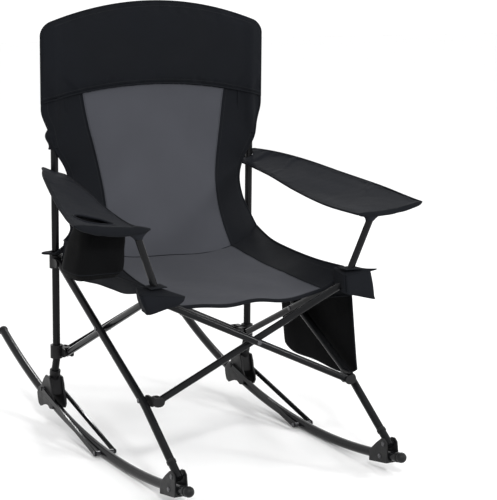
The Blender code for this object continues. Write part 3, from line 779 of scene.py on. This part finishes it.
def make_fittings():
    for node in frame["nodes"]:
        if node.startswith("rocker_link_pin"):
            continue
        if "rivet" in node or "bolt" in node or "pin_" in node:
            rivet(node)
        elif node.startswith("rear_foot_clip"):
            foot_clip(node, SIDES[node.split("_")[-1]])
        elif any(word in node for word in ("hub", "bracket", "cap_")):
            softened(node, "black_plastic")
        elif node.startswith("link_bar"):
            softened(node, "powder_coat", 0.0005)
    slope = Vector((0, 1, -0.199)).normalized()
    neck = [(0, 0.0104), (0.0012, 0.0114), (0.0088, 0.0114), (0.010, 0.0104), (0.0104, 0.006)]
    for side in SIDES:
        node, body = f"rocker_front_ball_{side}", f"rocker_{side}"
        low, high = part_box(node)
        radius = (high.x - low.x) / 2
        centre = Vector(((low.x + high.x) / 2, low.y + radius, high.z - radius))
        ball = [(-radius * cos(a), radius * sin(a)) for a in degrees(0, 150, 10)]
        ball += [(radius * 0.90, radius * 0.42), (radius * 0.90, 0.0)]
        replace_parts(lathe(f"rocker_ball_{side}", centre, slope, ball, body, sides=32), node)
        behind = centre + slope * (radius * 0.62)
        lathe(f"rocker_neck_{side}", behind, slope, neck, body)


# --- sling ---

# Sections of the back from the head seam to the crease, and of the seat from there forward: middle
# (forward, height), half width of the grey panel, and free edge (x, forward, height)
SECTIONS = {
    "back": (
        (0.000, 0.637, 0.190, 0.290, 0.000, 0.600),
        (0.003, 0.590, 0.184, 0.289, 0.000, 0.572),
        (0.008, 0.540, 0.176, 0.276, 0.004, 0.534),
        (0.015, 0.490, 0.166, 0.266, 0.010, 0.494),
        (0.026, 0.440, 0.157, 0.237, 0.012, 0.445),
        (0.042, 0.390, 0.151, 0.226, 0.012, 0.398),
        (0.063, 0.335, 0.150, 0.235, 0.014, 0.348),
        (0.088, 0.283, 0.153, 0.253, 0.021, 0.306),
        (0.115, 0.233, 0.160, 0.262, 0.038, 0.276),
    ),
    "seat": (
        (0.115, 0.233, 0.160, 0.262, 0.038, 0.276),
        (0.205, 0.219, 0.173, 0.255, 0.130, 0.255),
        (0.300, 0.207, 0.179, 0.251, 0.240, 0.247),
        (0.400, 0.199, 0.182, 0.250, 0.360, 0.244),
        (0.500, 0.194, 0.186, 0.250, 0.478, 0.248),
    ),
}
# Rough direction that the cloth's upper face looks
FACING = {"back": Vector((0, -0.98, 0.2)), "seat": Vector((0, 0, 1))}

# Name, table and share of its length of each part of the sling, and its rows of faces. The seat is
# in two parts because it folds where its side tubes cross
SLING_PARTS = (
    ("back", "back", 0, 1, 60),
    ("seat_rear", "seat", 0, 0.46, 26),
    ("seat_front", "seat", 0.46, 1, 30),
)
# Lower edge of the cloth that hangs from the seat's right edge: (forward, height)
SKIRT_EDGE = ((0.030, 0.212), (0.143, 0.201), (0.256, 0.209), (0.369, 0.212), (0.478, 0.234))


def right_narrowing(place, t):
    """How much further in the right free edge lies than the left one, round the crease."""
    if place == "back":
        return 0.026 * bell(t - 0.90, 0.10)
    return 0.0096 * (1 - smooth(0, 0.15, t))


def sling_point(place, t, share):
    """Point of the back or seat at t down its sections. share is 0 in the middle and 1 at the free edge."""
    forward, height, grey_x, edge_x, edge_forward, edge_height = spline(SECTIONS[place], t)
    power = lerp(2.2, 3.4, t) if place == "back" else lerp(3.4, 5.0, smooth(0, 0.4, t))
    side = abs(share) ** power
    grey_part = grey_x / edge_x
    x = share * edge_x
    if share < -grey_part:
        narrowed = edge_x - right_narrowing(place, t)
        x = -lerp(grey_x, narrowed, (-share - grey_part) / (1 - grey_part))
    point = at(x, lerp(forward, edge_forward, side), lerp(height, edge_height, side))
    pull = 0.3 + 4 * side * (1 - side)
    if place == "back":
        point.y -= 0.012 * bell(abs(x) - POST_X, 0.014) * (1 - smooth(0.18, 0.42, t))
        wave = ripple(0.0040, x * 7 + 5, height * 6, 1.0)
        wave += ripple(0.0016 * pull, x * 22, height * 7 - forward * 9, 4.0)
        point.y += wave * (1 - side) * smooth(0, 0.1, t)
    else:
        wave = ripple(0.0040, x * 8, forward * 7, 7.0)
        wave += ripple(0.0016 * pull, x * 18, forward * 26, 2.0)
        wave += 0.0030 * sin(x * 46 + 0.8) * smooth(0.82, 1.0, t)
        point.z += wave * (1 - side)
    return point


def grey_share(place, t):
    values = spline(SECTIONS[place], t)
    return values[2] / values[3]


def make_sling_part(part, place, start, end, rows):
    """Grey panel, two side panels, and what is sewn along their edges."""

    def middle(u, v):
        t = lerp(start, end, v)
        return sling_point(place, t, lerp(-1, 1, u) * grey_share(place, t))

    panel = cloth(f"{part}_grey_cloth", middle, 64, rows, part, "grey_cloth")
    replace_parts(panel, f"{place}_panel")
    steps = [lerp(start, end, share) for share in shares(90)]
    sewn = [lerp(start, end, 0.01 + 0.98 * share) for share in shares(120)]
    for side, sign in SIDES.items():

        def flank(u, v):
            t = lerp(start, end, v)
            return sling_point(place, t, sign * lerp(grey_share(place, t), 1, u))

        def beside(t, extra, lift):
            return sling_point(place, t, sign * (grey_share(place, t) + extra)) + FACING[place] * lift

        cloth(f"{part}_side_cloth_{side}", flank, 26, rows, part)
        piping(f"{part}_seam_{side}", [beside(t, 0, 0.0010) for t in steps], 0.0016, part)
        piping(f"{part}_edge_binding_{side}", [sling_point(place, t, sign) for t in steps], 0.0028, part)
        for number, extra in enumerate((-0.016, 0.024)):
            stitches(f"{part}_stitches_{side}_{number}", [beside(t, extra, 0.0009) for t in sewn], part)
        inner = [sling_point(place, t, sign * 0.955) + FACING[place] * 0.0009 for t in sewn]
        stitches(f"{part}_edge_stitches_{side}", inner, part)


def skirt(u, v):
    """Cloth that hangs from the seat's right edge."""
    forward, low = spline(SKIRT_EDGE, u)
    top = sling_point("seat", min(1, max(0, (forward - 0.038) / 0.440)), -1)
    bow = 0.0016 * sin(u * 21) * v - 0.004 * sin(pi * v)
    return top.lerp(at(top.x + 0.002, forward, low), v) + Vector((bow, 0, 0))


def make_sling():
    for part in SLING_PARTS:
        make_sling_part(*part)
    for part, _, start, end, _ in SLING_PARTS[1:]:

        def part_of_skirt(u, v):
            return skirt(lerp(start, end, u), v)

        cloth(f"{part}_skirt", part_of_skirt, 30, 14, part)
        piping(f"{part}_skirt_hem", [part_of_skirt(u, 1) for u in shares(30)], 0.0020, part)

    def across_seat(t, reach, count):
        return [sling_point("seat", t, lerp(-reach, reach, share)) for share in shares(count)]

    piping("seat_crease_seam", raised(across_seat(0, 0.99, 80), 0.0008), 0.0013, "back")
    front = [point + Vector((0, 0.001, -0.0015)) for point in across_seat(1, 1, 90)]
    piping("seat_front_hem", front, 0.0042, "seat_front")
    stitches("seat_front_stitches", raised(across_seat(0.968, 0.97, 140), 0.0009), "seat_front")


# --- head panel ---

HEAD_HALF = 0.291
HEAD_CORNER = 0.024
SHOULDER_X = 0.262


def seam_height(x):
    return 0.637 - 0.039 * (x / HEAD_HALF) ** 2


def head_top(x):
    """Height of the head panel's top edge: a shallow arch with round shoulders."""
    x = min(abs(x), HEAD_HALF)
    height = 0.832 - 0.046 * (x / SHOULDER_X) ** 2
    past = max(0.0, x - (HEAD_HALF - HEAD_CORNER)) / HEAD_CORNER
    return height - 0.022 * (1 - root(1 - past**2))


def post_ridge(x):
    return bell(abs(x) - POST_X, 0.013)


def head_point(u, v, face):
    """u runs across and v up. face is 1 for the front, -1 for the back and 0 for the rim's plane."""
    x = lerp(-HEAD_HALF, HEAD_HALF, u)
    height = lerp(seam_height(x) - 0.004, head_top(x), v)
    rim = root((1 - ends(u, 10)) * (1 - ends(v, 8)))
    ridge = post_ridge(x) * (1 - smooth(0.755, 0.80, height))
    padding = 0.0040 + 0.0030 * sin(pi * v)
    bulge = lerp(padding, 0.0120, ridge)
    wave = ripple(0.0030, x * 6, height * 8, 3.0) + ripple(0.0012, x * 19, height * 6, 9.0)
    return at(x, face * (0.0006 + bulge * rim) + wave * rim, height)


def head_face(x, height):
    """Point on the head panel's front face."""
    low, high = seam_height(x) - 0.004, head_top(x)
    point = head_point((x / HEAD_HALF + 1) / 2, (height - low) / (high - low), 1)
    return point + Vector((0, -0.0019, 0))


def make_head():
    cushion = pillow("head_cushion", 112, 46, head_point, "black_cloth", "back", 0.0022)
    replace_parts(cushion, "head_panel")
    half = HEAD_HALF - 0.003
    across = [lerp(-half, half, share) for share in shares(120)]
    seam = [at(x, 0.0060 + 0.0085 * post_ridge(x), seam_height(x)) for x in across]
    piping("head_seam", seam, 0.0021, "back")
    stitches("head_seam_stitches", [head_face(x, seam_height(x) + 0.009) for x in across], "back")
    stitches("head_top_stitches", [head_face(x, head_top(x) - 0.011) for x in across[6:-6]], "back")
    turns = [0.5 + 0.5 * sin(pi / 2 * lerp(-1, 1, share)) for share in shares(150)]
    arch = [at(x, 0, head_top(x)) for x in (lerp(-HEAD_HALF, HEAD_HALF, u) for u in turns)]
    drops = (0.02, 0.06, 0.10, 0.158)
    left = [arch[0] - Vector((0, 0, drop)) for drop in reversed(drops)]
    right = [arch[-1] - Vector((0, 0, drop)) for drop in drops]
    piping("head_rim_binding", left + arch + right, 0.0024, "back")


def make_sleeve(side, sign):
    """Cloth behind the post, which closes the back's edge into a sleeve, and its cuff."""
    body = f"sleeve_{side}"
    bottom, bulge = (0.494, 0.0100) if sign < 0 else (0.508, 0.0022)

    def behind(u, v):
        across = lerp(0.226, lerp(0.286, 0.2715, smooth(0.2, 0.8, v)), u)
        depth = lerp(0.0080, 0.0122, smooth(0, 0.18, v)) * bell(across - POST_X, 0.016)
        return on_side(sign, across, 0.002 * (1 - u) - depth, lerp(0.630, bottom + 0.022, v))

    piece = cloth(f"post_sleeve_back_{side}", behind, 24, 24, body)
    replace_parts(piece, f"post_sleeve_{side}")

    def cuff(u, v):
        """Gathered end of the sleeve, fuller on its outer side."""
        angle = 2 * pi * u
        outward = max(0.0, sign * cos(angle))
        radius = lerp(0.0112, 0.0128, v) + 0.0008 * sin(5 * angle + sign) * v
        radius += bulge * outward**2 * sin(pi * min(1, v * 1.1)) ** 2
        height = lerp(0.546, bottom, v) - 0.004 * outward * v
        return at(sign * POST_X + radius * cos(angle), radius * sin(angle), height)

    cloth(f"post_cuff_{side}", cuff, 60, 24, body)
    piping(f"post_cuff_hem_{side}", [cuff(u, 1) for u in shares(40)], 0.0019, body)
    stitches(f"post_cuff_stitches_{side}", [cuff(u, 0.84) for u in shares(60)], body)


# --- armrests ---

# Inner and outer edge (x, height) at even steps forward. The right one sags under its cup holder
ARM_EDGES = {
    -1: (
        ((0.234, 0.426), (0.2355, 0.409), (0.236, 0.379), (0.244, 0.367), (0.262, 0.380)),
        ((0.290, 0.448), (0.334, 0.440), (0.371, 0.423), (0.404, 0.4065), (0.4325, 0.399)),
    ),
    1: (
        ((0.236, 0.434), (0.244, 0.4185), (0.246, 0.3955), (0.247, 0.380), (0.250, 0.377)),
        ((0.2856, 0.467), (0.348, 0.447), (0.377, 0.429), (0.397, 0.414), (0.417, 0.395)),
    ),
}
ARM_REAR, ARM_INNER_LENGTH, ARM_OUTER_LENGTH = -0.020, 0.555, 0.560
ARM_WIDTH = 0.14
CUP_X, CUP_FORWARD, CUP_HOLE = -0.340, 0.422, 0.044
POST_HOLE = 0.0112
EYELET = 0.0120


def arm_point(sign, u, v, face):
    """Leaf of an armrest: u from its inner to its outer edge, v from the post forward."""
    inner_x, inner_z = spline(ARM_EDGES[sign][0], v)
    outer_x, outer_z = spline(ARM_EDGES[sign][1], v)
    inner = Vector((inner_x, ARM_REAR + ARM_INNER_LENGTH * v, inner_z))
    outer = Vector((outer_x, ARM_REAR + ARM_OUTER_LENGTH * v, outer_z))
    point = inner.lerp(outer, u)
    corner = ends(u, 5) * max(0.0, 1 - v / 0.2) ** 2
    point.y += 0.020 * corner
    point.z -= 0.006 * corner * u
    across = (outer - inner).normalized()
    up = Vector((-across.z, 0, across.x)).normalized()
    rim = root((1 - ends(u, 6)) * (1 - ends(v, 24)))
    sag = -0.0050 * sin(pi * u) * (0.4 + 0.6 * v)
    wave = ripple(0.0020, point.x * 20, point.y * 9 + sign * 3, 2.0)
    wave += ripple(0.0004, point.x * 50, point.y * 60, 8.0 + sign)
    point = point + up * (sag + face * (0.0004 + 0.0026 * rim) + wave * rim)
    return on_side(sign, *point)


def on_arm(sign, x, forward):
    """Point of the armrest's middle surface at a place."""
    u = v = 0.5
    for _ in range(12):
        here = arm_point(sign, u, v, 0)
        v = min(1, max(0, v + (forward - (POST_Y - here.y)) / ARM_INNER_LENGTH))
        u = min(1, max(0, u + (abs(x) - abs(here.x)) / ARM_WIDTH))
    return arm_point(sign, u, v, 0)


def circle_on_arm(sign, x, forward, radius, step):
    """Circle on the armrest round a place, in steps of whole degrees."""
    return [
        on_arm(sign, x + radius * cos(angle), forward + radius * sin(angle))
        for angle in degrees(0, 360, step)
    ]


def make_armrest(side, sign):
    body = f"arm_{side}"
    holes = [(at(sign * POST_X, 0, 0.30), at(sign * POST_X, 0, 0.60), POST_HOLE)]
    if sign < 0:
        holes.append((at(CUP_X, CUP_FORWARD, 0.30), at(CUP_X, CUP_FORWARD, 0.60), CUP_HOLE))

    def leaf(u, v, face):
        return arm_point(sign, u, v, face)

    piece = pillow(f"armrest_cloth_{side}", 40, 100, leaf, "arm_cloth", body, 0.0016, holes)
    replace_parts(piece, f"armrest_{side}")
    steps = shares(70)
    rim = [leaf(0, 1 - t, 0) for t in steps]
    rim += [leaf(t, 0, 0) for t in steps[1::5]]
    rim += [leaf(1, t, 0) for t in steps[1:]]
    piping(f"armrest_binding_{side}", rim, 0.0026, body)
    for number, inset in enumerate((0.06, 0.94)):
        row = raised([leaf(inset, 0.03 + 0.93 * t, 1) for t in steps], 0.0012)
        stitches(f"armrest_stitches_{side}_{number}", row, body)

    fullness = 0.0050 * (1.0 if sign < 0 else 0.2)

    def roll(u, v):
        """Thick front hem that hangs a little lower between its ends."""
        angle = 2 * pi * v
        end = root(1 - ends(u, 9))
        swell = sin(pi * u) ** 0.6
        tall = (0.0056 + fullness * swell) * end
        deep = 0.0074 * end
        bump = 1 + ripple(0.10, u * 9, cos(angle), sign * 4)
        centre = leaf(u, 1, 0) + Vector((0, -0.001, -0.0030 * swell))
        return centre + Vector((0, deep * cos(angle), tall * sin(angle))) * bump

    hem = grid(roll, 60, 20)
    bmesh.ops.remove_doubles(hem, verts=hem.verts, dist=0.0001)
    bmesh.ops.recalc_face_normals(hem, faces=hem.faces)
    hem = object_from(f"armrest_front_hem_{side}", hem, "black_cloth", body, CLOTH_ANGLE)
    eyelet = raised(circle_on_arm(sign, POST_X, 0, EYELET, 10), 0.0024)
    piping(f"armrest_eyelet_{side}", eyelet, 0.0017, body, "arm_cloth")

    top = on_side(sign, *ARM_POST_TOP)
    down = (on_side(sign, *ARM_POST_FOOT) - top).normalized()

    def web(u, v):
        """Web that ties the armrest to the arm post's top."""
        angle = 2 * pi * u
        radius = lerp(0.0240, 0.0090, smooth(0, 1, v) ** 0.6)
        ring = Vector((cos(angle) * radius, sin(angle) * min(radius, 0.0102), 0))
        return top - down * 0.013 + down * 0.0145 * v + ring * (1 + 0.03 * sin(5 * angle))

    cloth(f"arm_post_web_{side}", web, 48, 12, f"front_hub_{side}", "arm_cloth", thickness=0.0012)


# --- cup holder and pocket ---

CUP_BOTTOM, CUP_TOP = 0.272, 0.386


def cup_wall(u, v):
    """Wall of the cup holder: u runs round it and v down, from the armrest to its closed bottom."""
    angle = 2 * pi * u
    c, s = cos(angle), sin(angle)
    square = lerp(0.85, 0.50, smooth(0.0, 0.35, v))
    closing = 1 - 0.16 * smooth(0.90, 1.0, v)
    half_x = lerp(0.0470, 0.0550, v) * closing
    half_y = lerp(0.0500, 0.0660, smooth(0.0, 0.9, v)) * closing
    push = 1 + ripple(0.030, c * 2, s * 2, v * 3.2) * smooth(0.1, 0.4, v)
    push += 0.016 * sin(4 * angle + 2.5 * v) * smooth(0.2, 0.7, v)
    x = copysign(abs(c) ** square, c) * half_x * push
    forward = copysign(abs(s) ** square, s) * half_y * push
    height = lerp(CUP_TOP, CUP_BOTTOM, v) - 0.006 * smooth(0.8, 1.0, v) * (c < 0) * abs(c)
    if v < 0.2:
        over = on_arm(-1, CUP_X + x, CUP_FORWARD + forward)
        height = lerp(over.z - PIVOT_Z - 0.003, height, smooth(0, 0.2, v))
    lean = smooth(0, 0.15, v)
    shift_x, shift_forward = lerp(0.010, -0.004, v), lerp(0.010, -0.006, v)
    return at(CUP_X + shift_x * lean + x, CUP_FORWARD + shift_forward * lean + forward, height)


def make_cup_holder():
    shape = grid(cup_wall, 88, 36)
    flat, _ = cut_of(shape)
    bmesh.ops.remove_doubles(shape, verts=shape.verts, dist=0.00005)
    centre = at(CUP_X - 0.004, CUP_FORWARD - 0.004, 0)
    rim = [vert for vert in shape.verts if vert.is_boundary and vert.co.z < at(0, 0, 0.30).z]
    rim.sort(key=lambda vert: atan2(vert.co.y - centre.y, vert.co.x - centre.x))
    shape.faces.new(rim)
    bmesh.ops.recalc_face_normals(shape, faces=shape.faces)
    cut = (flat, area_of(shape))
    # The darker cloth paints the shade inside the cup holder
    piece = sheet("cup_holder_cloth", shape, cut, "pocket_cloth", "arm_right", CLOTH, -1)
    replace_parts(piece, "cup_holder")
    piping("cup_base_seam", [cup_wall(u, 0.90) for u in shares(88)], 0.0014, "arm_right")
    piping("cup_side_seam", [cup_wall(0.61, 0.16 + 0.74 * v) for v in shares(30)], 0.0012, "arm_right")
    edge = raised(circle_on_arm(-1, CUP_X, CUP_FORWARD, CUP_HOLE, 6), 0.0016)
    piping("cup_hole_binding", edge, 0.0023, "arm_right", "arm_cloth")


# Corners of the side pocket (forward, height): rear and front of its top, then of its bottom
POCKET_TOP = (Vector((0.140, 0.098)), Vector((0.462, 0.176)))
POCKET_BOTTOM = (Vector((0.160, -0.010)), Vector((0.492, -0.006)))
POCKET_X = 0.283
POCKET_STEPS = 120


def pocket_wall(u, v):
    """u runs round the pocket: forward along its outer face and back along its inner one."""
    along = 2 * u if u < 0.5 else 2 - 2 * u
    top = POCKET_TOP[0].lerp(POCKET_TOP[1], along)
    low = POCKET_BOTTOM[0].lerp(POCKET_BOTTOM[1], along)
    low.y -= 0.006 * sin(pi * along) + 0.003 * sin(3 * pi * along + 0.6)
    low.y += 0.012 * (1 - v) ** 5 * ends(along, 8)
    place = low.lerp(top, v)
    sewn = (1 - ends(along, 8)) * (1 - (1 - v) ** 6)
    depth = 0.0058 * root(sewn) * (1 if u < 0.5 else -1)
    fold = ripple(0.0045, place.x * 11 + place.y * 8, place.y * 5, 4.0)
    fold += ripple(0.0012, place.x * 30, place.y * 24, 1.0)
    return at(POCKET_X + depth + fold * sewn, place.x, place.y)


def pocket_hanger(u, v):
    """Cloth from the seat's edge over the side tubes to the pocket's inner face."""
    forward = lerp(0.150, 0.455, u)
    low = Vector((0.2785, forward, lerp(0.100, 0.172, u)))
    point = Vector((0.2535, forward, 0.2445)).lerp(low, v)
    return at(point.x + 0.010 * sin(pi * v), point.y, point.z)


def make_pocket():
    shape = grid(pocket_wall, POCKET_STEPS, 40)
    cut = cut_of(shape)
    bmesh.ops.remove_doubles(shape, verts=shape.verts, dist=0.00008)
    # The side pocket wears the same darker cloth, painted shade
    piece = sheet("side_pocket_cloth", shape, cut, "pocket_cloth", "pocket", 0.0012, -1)
    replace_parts(piece, "side_pocket")
    round_pocket = [step / POCKET_STEPS for step in range(POCKET_STEPS // 2 + 1)]
    outer = [pocket_wall(u, 1.0) for u in round_pocket]
    piping("pocket_rim_outer", outer, 0.0022, "pocket")
    inner = [pocket_wall(1 - u, 1.0) for u in round_pocket]
    piping("pocket_rim_inner", inner, 0.0022, "pocket")
    edge = [pocket_wall(0, 1 - v) for v in shares(30)]
    edge += [pocket_wall(u, 0) for u in round_pocket[1:-1]]
    edge += [pocket_wall(0.5, v) for v in shares(30)]
    piping("pocket_edge_binding", edge, 0.0019, "pocket")
    row = [pocket_wall(0.02 + 0.46 * u, 0.93) + Vector((0.0009, 0, 0)) for u in shares(90)]
    stitches("pocket_stitches", row, "pocket")
    cloth("pocket_hanger", pocket_hanger, 40, 20, "pocket")


# --- seat corners ---


def make_corner_tab(side, sign):
    """Rear corner of the seat, pierced by the post just above the slider hub."""
    point_angle = 2.2

    def tab(u, v):
        angle = 2 * pi * u
        to_point = max(0.0, cos(angle - point_angle))
        reach = 0.019 + 0.014 * max(0.0, cos(angle)) ** 6
        reach += 0.030 * to_point**2
        radius = lerp(0.0105, reach, v)
        rise = 0.030 * smooth(0.019, 0.050, radius) * to_point
        return on_side(sign, POST_X + cos(angle) * radius, sin(angle) * radius, 0.2415 + rise)

    body = f"{side}_slider"
    cloth(f"seat_corner_tab_{side}", tab, 60, 8, body, thickness=0.0026)
    piping(f"seat_corner_hem_{side}", [tab(u, 1) for u in shares(60)], 0.0021, body)


# Corners (x, forward, height) of the cloth pocket over an upper front hub, at the seat and then at
# its hem: outer front, outer rear, inner rear and inner front
FRONT_POCKETS = {
    1: (
        ((0.286, 0.543, 0.2475), (0.275, 0.478, 0.2475), (0.222, 0.476, 0.2475), (0.212, 0.545, 0.2400)),
        ((0.300, 0.543, 0.181), (0.284, 0.474, 0.196), (0.222, 0.472, 0.208), (0.216, 0.546, 0.203)),
    ),
    -1: (
        ((0.290, 0.545, 0.2430), (0.268, 0.478, 0.2475), (0.226, 0.478, 0.2450), (0.180, 0.553, 0.2300)),
        ((0.272, 0.545, 0.200), (0.258, 0.486, 0.201), (0.236, 0.486, 0.205), (0.196, 0.554, 0.219)),
    ),
}


def round_corners(u, corners):
    """Point at share u round four corners, with the corners rounded."""
    spot = (u % 1) * 4
    index = int(spot) % 4
    share = spot - int(spot)
    a, b = Vector(corners[index]), Vector(corners[(index + 1) % 4])
    straight_point = a.lerp(b, lerp(share, smooth(0, 1, share), 0.25))
    centre = sum((Vector(corner) for corner in corners), Vector((0.0, 0.0, 0.0))) / 4
    return straight_point.lerp(centre, 0.16 * ends(share, 8))


def make_front_pocket(side, sign):
    """Cloth pocket at the seat's front corner, over the upper front hub."""
    body = f"front_hub_{side}"
    high_corners, low_corners = FRONT_POCKETS[sign]
    fullness, tip_share = (0.004, 0.2) if sign < 0 else (0.001, 1)

    def flap(u, v):
        point = round_corners(u, high_corners).lerp(round_corners(u, low_corners), v)
        belly = sin(pi * v) * fullness
        fold = sin(u * 2 * pi * 5 + 1.3 + v * 1.5) * 0.0016 * v
        outward = (point - Vector((0.255, 0.503, point.z))).normalized()
        return on_side(sign, *(point + outward * (belly + fold)))

    cloth(f"front_corner_pocket_{side}", flap, 96, 24, body)
    piping(f"front_pocket_hem_{side}", [flap(u, 1) for u in shares(96)], 0.0022, body)

    def lid(u, v):
        """Top of the pocket, pierced by the arm post."""
        tip = max(0.0, cos(2 * pi * u)) ** 10 * tip_share
        outer = round_corners(u, high_corners) + Vector((0.0165, 0.004, 0.003)) * tip
        angle = -2 * pi * (u + 0.62)
        inner = Vector((0.2405 + 0.0090 * cos(angle), 0.5180 + 0.0090 * sin(angle), 0.2505))
        return on_side(sign, *inner.lerp(outer, v))

    cloth(f"front_corner_lid_{side}", lid, 72, 8, body, thickness=0.0020)

    def patch(u, v):
        """Small stitched patch round the arm post."""
        skew = (u - 0.5) * 0.006
        rise = 0.0040 + 0.0015 * sin(pi * u) * sin(pi * v)
        return on_side(sign, lerp(0.221, 0.262, u), lerp(0.500, 0.538, v) + skew, 0.2490 + rise)

    cloth(f"arm_post_patch_{side}", patch, 20, 20, body, thickness=0.0016)


# --- stage ---

# Name, place and power of each lamp
LAMPS = (
    ("key", Vector((-1.2, -3.4, 2.6)), 74),
    ("fill", Vector((3.0, -2.4, 1.8)), 40),
    ("rim", Vector((1.4, 3.0, 3.0)), 34),
)
LAMP_SIZE = 0.5
FLOOR_GREY = 0.86
SKY_STRENGTH = 1.15


def make_stage():
    bpy.ops.mesh.primitive_plane_add(size=30, location=(0, 0, -0.0005))
    floor = bpy.context.object
    floor.name = "floor"
    pale = Shader("pale floor", 0.8, Base_Color=(FLOOR_GREY, FLOOR_GREY, FLOOR_GREY))
    floor.data.materials.append(pale.material)

    scene = bpy.context.scene
    scene.world = bpy.data.worlds.new("studio")
    scene.world.use_nodes = True
    inputs = scene.world.node_tree.nodes["Background"].inputs
    inputs["Color"].default_value = (1, 1, 1, 1)
    inputs["Strength"].default_value = SKY_STRENGTH
    scene.view_settings.view_transform = "Standard"

    middle = (CAD_BOX[0] + CAD_BOX[1]) / 2
    for name, place, power in LAMPS:
        light = bpy.data.lights.new(name, "AREA")
        light.size = LAMP_SIZE
        light.energy = power
        obj = add_object(name, light)
        obj.location = place
        obj.rotation_euler = (middle - place).to_track_quat("-Z", "Y").to_euler()


# Place of the camera, its turns in degrees, each round its own axis, and its lens in mm
CAMERA_PLACE = at(-1.718, 3.666, 0.971)
CAMERA_TURNS = ((-28.377, "Z"), (90 - 10.4, "X"), (0.57, "Z"))
CAMERA_LENS = 120.5


def make_camera():
    """Looks from the sitter's right front, 28 degrees round and 10 degrees down."""
    camera = add_object("camera", bpy.data.cameras.new("camera"))
    camera.data.sensor_width = 36
    camera.data.lens = CAMERA_LENS
    place = Matrix.Translation(CAMERA_PLACE)
    for angle, axis in CAMERA_TURNS:
        place @= Matrix.Rotation(radians(angle), 4, axis)
    camera.matrix_world = place
    bpy.context.scene.camera = camera


for subpart in frame["record"]["subparts"]:
    dress(frame["nodes"][subpart["node"]].data, subpart["material_slot"])

make_stage()
make_camera()
make_tubes()
make_fittings()
make_sling()
make_head()
make_cup_holder()
make_pocket()
for side_name, side_sign in SIDES.items():
    make_sleeve(side_name, side_sign)
    make_armrest(side_name, side_sign)
    make_corner_tab(side_name, side_sign)
    make_front_pocket(side_name, side_sign)
for piece, axis, anchor, keep in FOLDING:
    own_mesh(piece)
